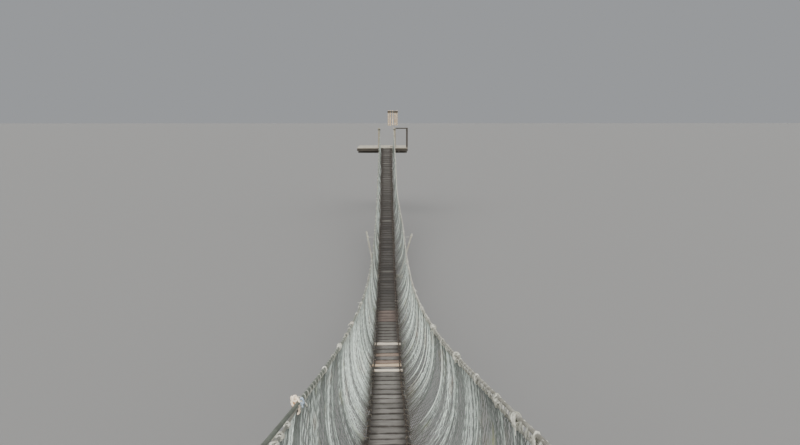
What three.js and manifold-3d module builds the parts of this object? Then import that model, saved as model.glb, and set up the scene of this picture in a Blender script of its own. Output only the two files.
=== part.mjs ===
// A rope suspension footbridge: a plank walk hung in a long sag between two timber landings, with a
// rope net on each side from the edge of the walk up to a hand rope.
// Millimetres, +Z up. +Y runs along the bridge from the near landing to the far one and +X is to the
// right on the way there. The origin is on the flat face of the near landing's front clamp beam, the
// face that bears on the round upright that carries the landing, in the centre plane of the walk.
import * as THREE from "three";
import { mergeVertices } from "three/addons/utils/BufferGeometryUtils.js";
import Module from "manifold-3d";

const wasm = await Module();
wasm.setup();

// Clearance between pieces that bear on each other.
const SEAT = 0.3;

// The walk
const SPAN = 29200;
const SAG = 3420;
const PLANK_COUNT = 129;
const PLANK_LENGTH = 560;
const PLANK_THICKNESS = 30;
const PLANK_GAP = 14;
const PLANK_END_STRIP = 36;
const SECTIONS = [26, 26, 25, 26, 26];
const WALK_END_GAP = 14;

// Ropes and cables
const HAND_CABLE_RADIUS = 13;
const HEAD_ROPE_RADIUS = 9;
const DECK_CABLE_RADIUS = 10;
const DECK_CABLE_OFFSET = 200;
const ROPE_SIDES = 8;
const SIDE_SPREAD_LEFT = [500, 595, 570, 475, 420, 400, 395, 385, 350];
const SIDE_SPREAD_RIGHT = [610, 760, 695, 590, 555, 545, 430, 425, 385];
const HAND_HEIGHT = [1150, 1190, 1200, 1200, 1200, 1190, 1150, 1080, 950];

// Side nets
const BAYS = 5;
const CELLS_PER_BAY = 8;
const NET_ROWS = 3;
const NET_HEIGHT = 1200;
const STRAND_WIDTH = 22;
const STRAND_THICKNESS = 14;
const NET_END_GAP = 15;
const NET_BELLY_OUT = 0.9;

// The spreader frame past the middle of the span
const SPREADER_STATION = 23;
const SPREADER_POLE_RADIUS = 27;
const SPREADER_BAR_RADIUS = 45;
const SPREADER_BAR_LENGTH = 1000;
const SPREADER_FOOT = { left: 360, right: 400 };
const SPREADER_TIP = { left: [664, 1380], right: [810, 1290] };
const SPREADER_POLE_FOOT_DROP = 190;

// The landings, measured behind their front edge and to the right of their centre line
const LANDING_DEPTH = 2500;
const LANDING_LEFT = -1600;
const LANDING_RIGHT = 1150;
const FLOOR_THICKNESS = 30;
const TRUNK_RADIUS = 250;
const TRUNK_SIDE = 350;
const TRUNK_BEHIND = 1500;
const FLOOR_HOLE_RADIUS = 290;
const JOIST_WIDTH = 60;
const JOIST_DEPTH = 120;
const JOIST_PLACES = [-1540, -740, 60, 640, 1090];
const SILL_WIDTH = 80;
const SILL_DEPTH = 150;
const CLAMP_WIDTH = 100;
const CLAMP_DEPTH = 200;
const CABLE_LEVEL = -50;
const POST_SIZE = 90;
const POST_SETBACK = 3;
const POST_OVER_ROPE = 100;
const RAIL_SIZE = 60;
const RAIL_TOP = 1070;
const CABLE_TAIL = 160;

// The collar of staves with a band, around the upright
const STAVE_COUNT = 12;
const STAVE_WIDTH = 90;
const STAVE_THICKNESS = 30;
const STAVE_BOTTOM = 1150;
const STAVE_TOP = 2000;
const BAND_INNER_RADIUS = 275;
const BAND_OUTER_RADIUS = 310;
const BAND_BOTTOM = 1880;
const BAND_TOP = 1960;
const COLLAR_CABLE_LEVEL = 1900;

// Worked out from the values above
const HALF_WALK = PLANK_LENGTH / 2;
const CELLS = BAYS * CELLS_PER_BAY;
const CELL = SPAN / CELLS;
const CHORD_RISE = (SAG * CELL * CELL) / (SPAN * SPAN);
const CLAMP_FRONT = TRUNK_BEHIND - TRUNK_RADIUS - CLAMP_WIDTH;
const CLAMP_TOP = -FLOOR_THICKNESS - SEAT - JOIST_DEPTH - SEAT;
const ORIGIN_TO_EDGE = CLAMP_FRONT + CLAMP_WIDTH;
const ORIGIN_TO_FLOOR = -(CLAMP_TOP - CLAMP_DEPTH / 2);

const deckCurve = new THREE.QuadraticBezierCurve3(
  new THREE.Vector3(0, 0, 0),
  new THREE.Vector3(0, SPAN / 2, -2 * SAG),
  new THREE.Vector3(0, SPAN, 0),
);
deckCurve.arcLengthDivisions = 2000;

const finishes = {
  plank: new THREE.MeshStandardMaterial({ color: 0x746c66, roughness: 0.9, metalness: 0 }),
  net: new THREE.MeshStandardMaterial({ color: 0xa9b3a6, roughness: 0.95, metalness: 0 }),
  rope: new THREE.MeshStandardMaterial({ color: 0x8f9080, roughness: 0.95, metalness: 0 }),
  cable: new THREE.MeshStandardMaterial({ color: 0x6f7263, roughness: 0.7, metalness: 0.2 }),
  timber: new THREE.MeshStandardMaterial({ color: 0x5a4a3a, roughness: 0.9, metalness: 0 }),
  board: new THREE.MeshStandardMaterial({ color: 0x8c7f70, roughness: 0.9, metalness: 0 }),
  pole: new THREE.MeshStandardMaterial({ color: 0x7d715f, roughness: 0.85, metalness: 0 }),
};

// A value listed at even stations along the span, joined by a smooth curve.
function alongSpan(values, along) {
  const place = Math.min(Math.max((along / SPAN) * (values.length - 1), 0), values.length - 1);
  const low = Math.min(Math.floor(place), values.length - 2);
  const t = place - low;
  const a = values[low];
  const b = values[low + 1];
  const before = low > 0 ? values[low - 1] : 2 * a - b;
  const after = low + 2 < values.length ? values[low + 2] : 2 * b - a;
  const slopeA = (b - before) / 2;
  const slopeB = (after - a) / 2;
  const square = t * t;
  const cube = square * t;
  return (
    (2 * cube - 3 * square + 1) * a +
    (cube - 2 * square + t) * slopeA +
    (3 * square - 2 * cube) * b +
    (cube - square) * slopeB
  );
}

function deckHeight(along) {
  return deckCurve.getPoint(along / SPAN).z;
}

function deckSlopeCosine(along) {
  const tangent = deckCurve.getTangent(along / SPAN);
  return tangent.y / tangent.length();
}

function spreadAt(side, along) {
  return side < 0 ? -alongSpan(SIDE_SPREAD_LEFT, along) : alongSpan(SIDE_SPREAD_RIGHT, along);
}

function handPoint(side, along) {
  return new THREE.Vector3(spreadAt(side, along), along, deckHeight(along) + alongSpan(HAND_HEIGHT, along));
}

function headRopePoint(side, along) {
  const below = (HAND_CABLE_RADIUS + HEAD_ROPE_RADIUS + SEAT) / deckSlopeCosine(along);
  return handPoint(side, along).sub(new THREE.Vector3(0, 0, below));
}

// A path through listed stations, sampled exactly at them.
class StationPath extends THREE.Curve {
  constructor(stations) {
    super();
    this.stations = stations;
  }

  getPoint(t, target = new THREE.Vector3()) {
    const place = Math.min(Math.max(t, 0), 1) * (this.stations.length - 1);
    const low = Math.min(Math.floor(place + 1e-9), this.stations.length - 2);
    return target.lerpVectors(this.stations[low], this.stations[low + 1], place - low);
  }

  getPointAt(u, target) {
    return this.getPoint(u, target);
  }

  getTangentAt(u, target) {
    return this.getTangent(u, target);
  }
}

function polygonSection(radius, sides) {
  const points = [];
  for (let i = 0; i < sides; i += 1) {
    const angle = (2 * Math.PI * i) / sides;
    points.push(new THREE.Vector2(radius * Math.cos(angle), radius * Math.sin(angle)));
  }
  return new THREE.Shape(points);
}

function ropeThrough(stations, radius) {
  const path = new StationPath(stations);
  return new THREE.ExtrudeGeometry(polygonSection(radius, ROPE_SIDES), {
    steps: stations.length - 1,
    extrudePath: path,
    bevelEnabled: false,
  });
}

function weld(geometry) {
  geometry.deleteAttribute("normal");
  geometry.deleteAttribute("uv");
  return mergeVertices(geometry, 1e-3);
}

function toSolid(geometry) {
  const welded = weld(geometry.clone());
  return new wasm.Manifold(
    new wasm.Mesh({
      numProp: 3,
      vertProperties: new Float32Array(welded.attributes.position.array),
      triVerts: new Uint32Array(welded.index.array),
    }),
  );
}

function toGeometry(solid) {
  const mesh = solid.getMesh();
  const geometry = new THREE.BufferGeometry();
  geometry.setAttribute("position", new THREE.BufferAttribute(new Float32Array(mesh.vertProperties), 3));
  geometry.setIndex(new THREE.BufferAttribute(new Uint32Array(mesh.triVerts), 1));
  return geometry;
}

function joined(geometries) {
  return toGeometry(geometries.map(toSolid).reduce((whole, next) => whole.add(next)));
}

function cutBy(geometry, cutters) {
  return toGeometry(cutters.map(toSolid).reduce((whole, cutter) => whole.subtract(cutter), toSolid(geometry)));
}

// A box between two corners.
function boxBetween(low, high) {
  const geometry = new THREE.BoxGeometry(high[0] - low[0], high[1] - low[1], high[2] - low[2]);
  geometry.translate((low[0] + high[0]) / 2, (low[1] + high[1]) / 2, (low[2] + high[2]) / 2);
  return geometry;
}

// A plate of even thickness with a straight-sided outline.
function plate(corners, thickness) {
  return new THREE.ExtrudeGeometry(new THREE.Shape(corners), { depth: thickness, bevelEnabled: false });
}

// A round bar between two points, with an edge of its many-sided section towards +Y and -Y.
function barBetween(from, to, radius, sides) {
  const along = new THREE.Vector3().subVectors(to, from);
  const geometry = new THREE.CylinderGeometry(radius, radius, along.length(), sides);
  const axis = along.clone().normalize();
  const across = new THREE.Vector3(0, 1, 0).cross(axis).normalize();
  const edge = new THREE.Vector3().crossVectors(across, axis);
  const turn = new THREE.Matrix4().makeBasis(across, axis, edge);
  geometry.applyMatrix4(turn);
  const middle = new THREE.Vector3().addVectors(from, to).multiplyScalar(0.5);
  geometry.translate(middle.x, middle.y, middle.z);
  return geometry;
}

// Moves every vertex of a shape that was drawn flat, (u, v, w), on to a curved surface.
function bend(geometry, place) {
  const position = geometry.attributes.position;
  const target = new THREE.Vector3();
  for (let i = 0; i < position.count; i += 1) {
    place(position.getX(i), position.getY(i), position.getZ(i), target);
    position.setXYZ(i, target.x, target.y, target.z);
  }
  return geometry;
}

const bridge = new THREE.Group();
bridge.position.set(0, ORIGIN_TO_EDGE, ORIGIN_TO_FLOOR);

function addTo(group, name, geometry, finish) {
  const mesh = new THREE.Mesh(geometry, finish);
  mesh.name = name;
  group.add(mesh);
  return mesh;
}

// Joins extruded pieces that stand side to side, by leaving out each wall that two of them share.
function fused(pieces) {
  const walls = new Map();
  const kept = [];
  for (const piece of pieces) {
    const corners = Array.from(piece.attributes.position.array);
    const [lids, sides] = piece.groups;
    kept.push(...corners.slice(3 * lids.start, 3 * (lids.start + lids.count)));
    for (let first = sides.start; first < sides.start + sides.count; first += 6) {
      const wall = corners.slice(3 * first, 3 * (first + 6));
      const points = new Set();
      for (let i = 0; i < wall.length; i += 3) {
        points.add(wall.slice(i, i + 3).map((value) => value.toFixed(2)).join());
      }
      const key = [...points].sort().join(" ");
      if (walls.has(key)) {
        walls.delete(key);
      } else {
        walls.set(key, wall);
      }
    }
  }
  for (const wall of walls.values()) {
    kept.push(...wall);
  }
  const whole = new THREE.BufferGeometry();
  whole.setAttribute("position", new THREE.BufferAttribute(new Float32Array(kept), 3));
  return whole;
}

// One plank, with the tabs that tie it to its neighbours at both of its ends.
function plankCell(start, end) {
  const half = PLANK_GAP / 2;
  const tab = HALF_WALK - PLANK_END_STRIP;
  const outline = [
    [start, -HALF_WALK],
    [end, -HALF_WALK],
    [end, -tab],
    [end - half, -tab],
    [end - half, tab],
    [end, tab],
    [end, HALF_WALK],
    [start, HALF_WALK],
    [start, tab],
    [start + half, tab],
    [start + half, -tab],
    [start, -tab],
  ];
  return plate(outline.map(([u, v]) => new THREE.Vector2(u, v)), PLANK_THICKNESS);
}

// One section of the walk: planks side by side with open gaps, tied at their ends.
function walkSection(firstPlank, plankCount) {
  const total = deckCurve.getLength();
  const pitch = (total - 2 * WALK_END_GAP) / PLANK_COUNT;
  const edges = [];
  for (let i = 0; i <= plankCount; i += 1) {
    edges.push(WALK_END_GAP + (firstPlank + i) * pitch);
  }
  edges[0] += SEAT / 2;
  edges[plankCount] -= SEAT / 2;
  const planks = [];
  for (let i = 0; i < plankCount; i += 1) {
    const cell = bend(plankCell(edges[i], edges[i + 1]), (u, v, w, target) => {
      const point = deckCurve.getPointAt(u / total);
      const tangent = deckCurve.getTangentAt(u / total);
      const below = PLANK_THICKNESS - w;
      target.set(-v, point.y + tangent.z * below, point.z - tangent.y * below);
    });
    planks.push(cell);
  }
  return fused(planks);
}

// The belly of the net: level out from the edge of the walk, then steeply up to the head rope.
function netPoint(side, along, rise) {
  const foot = new THREE.Vector3(side * (HALF_WALK + SEAT), along, deckHeight(along) - PLANK_THICKNESS / 2);
  const head = headRopePoint(side, along);
  head.z -= HEAD_ROPE_RADIUS / deckSlopeCosine(along) + SEAT;
  const belly = new THREE.Vector3(foot.x + NET_BELLY_OUT * (head.x - foot.x), along, foot.z);
  const curve = new THREE.QuadraticBezierCurve3(foot, belly, head);
  return { point: curve.getPoint(rise), tangent: curve.getTangent(rise) };
}

// The corners on one side of a strand that crosses a tile from its first corner to the far one. The
// tile's border on that side follows the tile's foot, its end, or both, where it then closes a hole.
function strandSide(width, height, reach, rise, atFoot, atEnd) {
  if (atFoot && atEnd) {
    return {
      corners: [[width, 0], [width, height]],
      hole: [[2 * reach, rise], [width - reach, rise], [width - reach, height - 2 * rise]],
    };
  }
  if (atFoot) {
    return { corners: [[width, 0], [width, rise], [2 * reach, rise], [width, height - rise], [width, height]] };
  }
  if (atEnd) {
    return {
      corners: [[reach, 0], [width - reach, height - 2 * rise], [width - reach, 0], [width, 0], [width, height]],
    };
  }
  return { corners: [[reach, 0], [width, height - rise], [width, height]] };
}

// A tile of the net: one strand from corner to corner, and the net's border where the tile is at an edge.
function netTile(left, right, foot, head, atLeft, atRight, atFoot, atHead, rising) {
  const width = right - left;
  const height = head - foot;
  const reach = ((STRAND_WIDTH / 2) * Math.hypot(width, height)) / height;
  const rise = ((STRAND_WIDTH / 2) * Math.hypot(width, height)) / width;
  const below = strandSide(width, height, reach, rise, atFoot, rising ? atRight : atLeft);
  const above = strandSide(width, height, reach, rise, atHead, rising ? atLeft : atRight);
  const place = ([across, up]) => {
    const inset = Math.min(across, width - across);
    const atStart = rising === across < width / 2;
    return new THREE.Vector2(
      atStart ? left + inset : right - inset,
      up < height / 2 ? foot + up : head - (height - up),
    );
  };
  const opposite = ([across, up]) => place([width - across, height - up]);
  const corners = [...below.corners.map(place), ...above.corners.map(opposite)];
  const shape = new THREE.Shape(rising ? corners : corners.reverse());
  if (below.hole) {
    shape.holes.push(new THREE.Path(below.hole.map(place)));
  }
  if (above.hole) {
    shape.holes.push(new THREE.Path(above.hole.map(opposite)));
  }
  return new THREE.ExtrudeGeometry(shape, { depth: STRAND_THICKNESS, bevelEnabled: false });
}

// One bay of a side net: an open lattice of strands with a border, drawn flat, tile by tile, and bent.
function netBay(side, bay) {
  const start = bay === 0 ? NET_END_GAP : bay * CELLS_PER_BAY * CELL + SEAT / 2;
  const end = bay === BAYS - 1 ? SPAN - NET_END_GAP : (bay + 1) * CELLS_PER_BAY * CELL - SEAT / 2;
  const columns = 2 * CELLS_PER_BAY;
  const columnAt = (i) => THREE.MathUtils.lerp(start, end, i / columns);
  const rowAt = (j) => (j * NET_HEIGHT) / NET_ROWS;
  const across = new THREE.Vector3();
  const tiles = [];
  for (let i = 0; i < columns; i += 1) {
    for (let j = 0; j < NET_ROWS; j += 1) {
      const tile = netTile(
        columnAt(i),
        columnAt(i + 1),
        rowAt(j),
        rowAt(j + 1),
        i === 0,
        i === columns - 1,
        j === 0,
        j === NET_ROWS - 1,
        (i + j) % 2 === 0,
      );
      tiles.push(bend(tile, (u, v, w, target) => {
        const { point, tangent } = netPoint(side, u, v / NET_HEIGHT);
        across.set(tangent.z, 0, -tangent.x).normalize().multiplyScalar(side);
        target.copy(point).addScaledVector(across, side * (w - STRAND_THICKNESS / 2));
      }));
    }
  }
  return fused(tiles);
}

function landingPoint(end, right, behind, up) {
  return end === "far"
    ? new THREE.Vector3(right, SPAN + behind, up)
    : new THREE.Vector3(-right, -behind, up);
}

// A deck cable runs from the near clamp beam over both sills to the far one.
function deckCable(side) {
  const clampLevel = CLAMP_TOP - CLAMP_DEPTH / 2;
  const anchorage = (end) => {
    const right = end === "far" ? side * DECK_CABLE_OFFSET : -side * DECK_CABLE_OFFSET;
    return [
      landingPoint(end, right, CLAMP_FRONT - SEAT - 2, clampLevel),
      landingPoint(end, right, SILL_WIDTH + 15, CABLE_LEVEL),
      landingPoint(end, right, -6, CABLE_LEVEL),
    ];
  };
  const stations = anchorage("near");
  for (let i = 1; i < CELLS; i += 1) {
    stations.push(deckCablePoint(side, i * CELL));
  }
  stations.push(...anchorage("far").reverse());
  return ropeThrough(stations, DECK_CABLE_RADIUS);
}

function deckCablePoint(side, along) {
  const below = (PLANK_THICKNESS + DECK_CABLE_RADIUS) / deckSlopeCosine(along) + SEAT + CHORD_RISE;
  return new THREE.Vector3(side * DECK_CABLE_OFFSET, along, deckHeight(along) - below);
}

// A hand cable is tied to a post at one landing and runs up to the collar at the other.
function handCable(side) {
  const stations = [];
  for (let i = 0; i <= CELLS; i += 1) {
    stations.push(handPoint(side, i * CELL));
  }
  const tail = (end) => {
    const at = handPoint(side, end === "far" ? SPAN : 0);
    const right = end === "far" ? at.x : -at.x;
    if (right < 0) {
      return landingPoint(end, right, CABLE_TAIL, at.z + CABLE_TAIL / 4);
    }
    const bandFront = TRUNK_BEHIND - BAND_OUTER_RADIUS;
    const climb = Math.atan2(COLLAR_CABLE_LEVEL - at.z, bandFront);
    const endFace = bandFront - HAND_CABLE_RADIUS * Math.sin(climb) - SEAT;
    return landingPoint(end, TRUNK_SIDE, endFace, COLLAR_CABLE_LEVEL);
  };
  return ropeThrough([tail("near"), ...stations, tail("far")], HAND_CABLE_RADIUS);
}

function headRope(side) {
  const stations = [];
  for (let i = 0; i <= CELLS; i += 1) {
    stations.push(headRopePoint(side, i * CELL));
  }
  return ropeThrough(stations, HEAD_ROPE_RADIUS);
}

// The floor of a landing, with the hole for the upright.
function landingFloor() {
  const shape = new THREE.Shape([
    new THREE.Vector2(LANDING_LEFT, 0),
    new THREE.Vector2(LANDING_RIGHT, 0),
    new THREE.Vector2(LANDING_RIGHT, LANDING_DEPTH),
    new THREE.Vector2(LANDING_LEFT, LANDING_DEPTH),
  ]);
  const hole = new THREE.Path();
  hole.absarc(TRUNK_SIDE, TRUNK_BEHIND, FLOOR_HOLE_RADIUS, 0, 2 * Math.PI, true);
  shape.holes.push(hole);
  const floor = new THREE.ExtrudeGeometry(shape, { depth: FLOOR_THICKNESS, bevelEnabled: false, curveSegments: 16 });
  floor.translate(0, 0, -FLOOR_THICKNESS);
  return floor;
}

function landingJoists() {
  const top = -FLOOR_THICKNESS - SEAT;
  const bottom = top - JOIST_DEPTH;
  const front = SILL_WIDTH + SEAT;
  const back = LANDING_DEPTH - JOIST_WIDTH;
  const joists = JOIST_PLACES.map((middle) =>
    boxBetween([middle - JOIST_WIDTH / 2, front, bottom], [middle + JOIST_WIDTH / 2, back + 1, top]),
  );
  const tie = boxBetween([LANDING_LEFT, back, bottom], [LANDING_RIGHT, LANDING_DEPTH, top]);
  return joined([tie, ...joists]);
}

function landingSill() {
  const top = -FLOOR_THICKNESS - SEAT;
  const sill = boxBetween([LANDING_LEFT, 0, top - SILL_DEPTH], [LANDING_RIGHT, SILL_WIDTH, top]);
  const half = DECK_CABLE_RADIUS + SEAT;
  const notches = [-1, 1].map((side) =>
    boxBetween(
      [side * DECK_CABLE_OFFSET - half, -1, CABLE_LEVEL - half],
      [side * DECK_CABLE_OFFSET + half, SILL_WIDTH + 1, top + 1],
    ),
  );
  return cutBy(sill, notches);
}

function clampBeam(front) {
  return boxBetween(
    [LANDING_LEFT, front, CLAMP_TOP - CLAMP_DEPTH],
    [LANDING_RIGHT, front + CLAMP_WIDTH, CLAMP_TOP],
  );
}

function entryPost(innerFace, height) {
  const outward = Math.sign(innerFace) * POST_SIZE;
  const low = Math.min(innerFace, innerFace + outward);
  return boxBetween([low, POST_SETBACK, SEAT], [low + POST_SIZE, POST_SETBACK + POST_SIZE, height]);
}

// A corner post with the rail that runs from it to the entry post.
function cornerRail(from) {
  const shape = new THREE.Shape([
    new THREE.Vector2(from, RAIL_TOP - RAIL_SIZE),
    new THREE.Vector2(LANDING_RIGHT - POST_SIZE, RAIL_TOP - RAIL_SIZE),
    new THREE.Vector2(LANDING_RIGHT - POST_SIZE, SEAT),
    new THREE.Vector2(LANDING_RIGHT, SEAT),
    new THREE.Vector2(LANDING_RIGHT, RAIL_TOP),
    new THREE.Vector2(from, RAIL_TOP),
  ]);
  const rail = new THREE.ExtrudeGeometry(shape, { depth: POST_SIZE, bevelEnabled: false });
  rail.rotateX(Math.PI / 2);
  rail.translate(0, POST_SETBACK + POST_SIZE, 0);
  return rail;
}

function trunkCollar() {
  const pieces = [];
  for (let i = 0; i < STAVE_COUNT; i += 1) {
    const stave = boxBetween(
      [TRUNK_RADIUS, -STAVE_WIDTH / 2, STAVE_BOTTOM],
      [TRUNK_RADIUS + STAVE_THICKNESS, STAVE_WIDTH / 2, STAVE_TOP],
    );
    stave.rotateZ((2 * Math.PI * i) / STAVE_COUNT);
    pieces.push(stave);
  }
  const band = new THREE.LatheGeometry(
    [
      new THREE.Vector2(BAND_INNER_RADIUS, BAND_BOTTOM),
      new THREE.Vector2(BAND_OUTER_RADIUS, BAND_BOTTOM),
      new THREE.Vector2(BAND_OUTER_RADIUS, BAND_TOP),
      new THREE.Vector2(BAND_INNER_RADIUS, BAND_TOP),
      new THREE.Vector2(BAND_INNER_RADIUS, BAND_BOTTOM),
    ],
    24,
  );
  band.rotateX(Math.PI / 2);
  pieces.unshift(band);
  const collar = joined(pieces);
  collar.translate(TRUNK_SIDE, TRUNK_BEHIND, 0);
  return collar;
}

// A landing is drawn as the far one stands. The near one is the same, turned half round.
function landing(end) {
  const group = new THREE.Group();
  const far = end === "far";
  group.position.y = far ? SPAN : 0;
  group.rotation.z = far ? 0 : Math.PI;
  const along = far ? SPAN : 0;
  const leftRope = far ? -spreadAt(-1, along) : spreadAt(1, along);
  const rightRope = far ? spreadAt(1, along) : -spreadAt(-1, along);
  const postTop = alongSpan(HAND_HEIGHT, along) + POST_OVER_ROPE;
  const clear = HAND_CABLE_RADIUS + SEAT;
  const rightFace = rightRope + clear;
  addTo(group, `${end}_floor`, landingFloor(), finishes.board);
  addTo(group, `${end}_joists`, landingJoists(), finishes.timber);
  addTo(group, `${end}_sill_beam`, landingSill(), finishes.timber);
  addTo(group, `${end}_clamp_beam_front`, clampBeam(CLAMP_FRONT), finishes.timber);
  addTo(group, `${end}_clamp_beam_back`, clampBeam(TRUNK_BEHIND + TRUNK_RADIUS), finishes.timber);
  addTo(group, `${end}_entry_post_left`, entryPost(-leftRope - clear, postTop), finishes.pole);
  addTo(group, `${end}_entry_post_right`, entryPost(rightFace, postTop), finishes.pole);
  addTo(group, `${end}_corner_rail`, cornerRail(rightFace + POST_SIZE + SEAT), finishes.timber);
  addTo(group, `${end}_trunk_collar`, trunkCollar(), finishes.board);
  bridge.add(group);
}

// Two poles that lean out past the hand ropes, on a bar across and below the deck cables.
function spreader() {
  const along = SPREADER_STATION * CELL;
  const cable = deckCablePoint(1, along);
  const barLevel = cable.z - DECK_CABLE_RADIUS / deckSlopeCosine(along) - SEAT - SPREADER_BAR_RADIUS;
  const half = SPREADER_BAR_LENGTH / 2;
  const bar = barBetween(
    new THREE.Vector3(-half, along, barLevel),
    new THREE.Vector3(half, along, barLevel),
    SPREADER_BAR_RADIUS,
    12,
  );
  addTo(bridge, "spreader_crossbar", bar, finishes.pole);
  const poleAlong = along + SPREADER_BAR_RADIUS + SEAT + SPREADER_POLE_RADIUS;
  for (const [name, side] of [["left", -1], ["right", 1]]) {
    const [out, up] = SPREADER_TIP[name];
    const pole = barBetween(
      new THREE.Vector3(side * SPREADER_FOOT[name], poleAlong, deckHeight(along) - SPREADER_POLE_FOOT_DROP),
      new THREE.Vector3(side * out, poleAlong, deckHeight(along) + up),
      SPREADER_POLE_RADIUS,
      10,
    );
    addTo(bridge, `spreader_pole_${name}`, pole, finishes.pole);
  }
}

let firstPlank = 0;
SECTIONS.forEach((plankCount, index) => {
  addTo(bridge, `walk_section_${index + 1}`, walkSection(firstPlank, plankCount), finishes.plank);
  firstPlank += plankCount;
});

for (const [name, side] of [["left", -1], ["right", 1]]) {
  addTo(bridge, `deck_cable_${name}`, deckCable(side), finishes.cable);
  addTo(bridge, `hand_cable_${name}`, handCable(side), finishes.cable);
  addTo(bridge, `net_head_rope_${name}`, headRope(side), finishes.rope);
  for (let bay = 0; bay < BAYS; bay += 1) {
    addTo(bridge, `net_${name}_${bay + 1}`, netBay(side, bay), finishes.net);
  }
}

spreader();
landing("near");
landing("far");

export default bridge;
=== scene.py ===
"""The looks of a rope suspension footbridge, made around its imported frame.

The file is laid out as an add-on and run as a script. Each operator makes one group of pieces.
All sizes are in metres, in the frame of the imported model: +Y along the bridge, +Z up. A station is a
distance from the near landing's front edge, and a side is -1 for the left and 1 for the right.
"""

import math
import random
from functools import partial

import bmesh
import bpy
import numpy as np
from mathutils import Matrix, Vector, noise


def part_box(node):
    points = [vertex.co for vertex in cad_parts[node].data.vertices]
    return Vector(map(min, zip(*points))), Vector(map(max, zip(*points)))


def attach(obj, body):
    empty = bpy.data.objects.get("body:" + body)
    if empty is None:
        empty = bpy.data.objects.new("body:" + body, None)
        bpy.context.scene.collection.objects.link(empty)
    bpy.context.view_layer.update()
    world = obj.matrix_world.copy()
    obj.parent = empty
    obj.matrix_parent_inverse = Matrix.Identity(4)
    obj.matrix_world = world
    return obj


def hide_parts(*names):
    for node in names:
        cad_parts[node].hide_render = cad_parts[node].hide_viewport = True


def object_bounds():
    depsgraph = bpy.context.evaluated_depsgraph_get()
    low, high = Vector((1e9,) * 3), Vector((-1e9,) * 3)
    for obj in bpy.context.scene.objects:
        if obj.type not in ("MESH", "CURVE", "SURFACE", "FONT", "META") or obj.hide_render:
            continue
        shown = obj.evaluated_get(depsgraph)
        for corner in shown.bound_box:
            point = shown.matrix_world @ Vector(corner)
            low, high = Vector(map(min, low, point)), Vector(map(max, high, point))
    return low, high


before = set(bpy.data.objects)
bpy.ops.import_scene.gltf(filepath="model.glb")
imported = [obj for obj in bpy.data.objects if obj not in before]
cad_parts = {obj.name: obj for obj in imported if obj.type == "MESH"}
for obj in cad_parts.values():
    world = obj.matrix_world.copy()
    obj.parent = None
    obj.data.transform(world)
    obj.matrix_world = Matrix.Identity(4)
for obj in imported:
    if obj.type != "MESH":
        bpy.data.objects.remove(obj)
CAD_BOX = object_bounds()
# Left to itself, the noise would start from the clock.
noise.seed_set(23)

bl_info = {
    "name": "Rope suspension footbridge",
    "version": (1, 0, 0),
    "blender": (4, 5, 0),
    "location": "3D View > Sidebar > Footbridge",
    "description": "Planks, ropes, nets and timber landings of a sagging rope footbridge",
    "category": "Object",
}

# The bridge's own lines, from the frame and from the part's driving sizes.
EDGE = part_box("near_floor")[1].y
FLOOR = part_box("near_floor")[1].z
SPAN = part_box("far_floor")[0].y - EDGE
PLANK_THICKNESS = 0.03
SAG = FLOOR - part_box("walk_section_3")[0].z - PLANK_THICKNESS
PLANK_COUNT = 129
SECTION_ENDS = (26, 52, 77, 103, 129)
HALF_WALK = 0.28
HAND_RADIUS = 0.013
HEAD_RADIUS = 0.009
DECK_CABLE_RADIUS = 0.010
DECK_CABLE_OFFSET = 0.2
DECK_CABLE_GAP = 0.0024
CLEARANCE = 0.0003
SPREAD = {
    -1: (0.500, 0.595, 0.570, 0.475, 0.420, 0.400, 0.395, 0.385, 0.350),
    1: (0.610, 0.760, 0.695, 0.590, 0.555, 0.545, 0.430, 0.425, 0.385),
}
HAND_HEIGHT = (1.150, 1.190, 1.200, 1.200, 1.200, 1.190, 1.150, 1.080, 0.950)
BAYS = 5
SIDES = {"left": -1, "right": 1}
# A net's section is a curve with two handles, each a share of the way out and of the way up.
BELLY_LOW = (0.46, 0.13)
BELLY_HIGH = (1.2, 0.34)
SECTION_STEPS = 16
NET_FOOT_OUT = 0.016
NET_FOOT_DROP = 0.012
NET_HEAD_DROP = 0.006

# The landings' sizes, as the far one stands: right of the middle, behind its edge, above its floor.
LANDING_DEPTH = 2.5
LANDING_LEFT = -1.6
LANDING_RIGHT = 1.15
UPRIGHT_PLACE = (0.35, 1.5)
UPRIGHT_RADIUS = 0.25
FLOOR_HOLE_RADIUS = 0.29
BOARD_THICKNESS = 0.03
JOIST_PLACES = (-1.54, -0.74, 0.06, 0.64, 1.09)
CLAMP_TOP = -0.1506
CLAMP_SIZE = (0.1, 0.2)
POST_SIZE = 0.09
POST_OVER_ROPE = 0.1
BOLT_HEIGHTS = (0.05, 0.12)
RAIL_SIZE = 0.06
RAIL_TOP = 1.07
CABLE_LEVEL = -0.05
# The deck cables' stops, back from the edge and up from the floor: the clamp beam, and over the sill.
DECK_CABLE_STOPS = ((1.1477, CLAMP_TOP - 0.1), (0.095, CABLE_LEVEL), (-0.006, CABLE_LEVEL))
STAVES = 12
STAVE_WIDTH = 0.09
STAVE_THICKNESS = 0.026
STAVE_LOW = 1.15
STAVE_HIGH = 2.0
BAND_LOW = 1.88
BAND_HIGH = 1.96
BAND_CORD = 0.0095
BAND_PITCH = 0.0175
BAND_TURNS = 4.5
COLLAR_CABLE_LEVEL = 1.9
COLLAR_REACH = 0.31
# Where a hand cable ends at its post: back from the landing's edge and up from where it comes in.
POST_STOP = (0.16, 0.04)
TIE_ROD_OUT = 0.34
SPREADER_STATION = 23 * SPAN / 40
SPREADER_TIP = {-1: (0.664, 1.38), 1: (0.81, 1.29)}
SPREADER_FOOT = {-1: 0.36, 1: 0.4}
SPREADER_DROP = 0.19

STAGE_SIZE = 400
STAGE_DROP = 0.25

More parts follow.
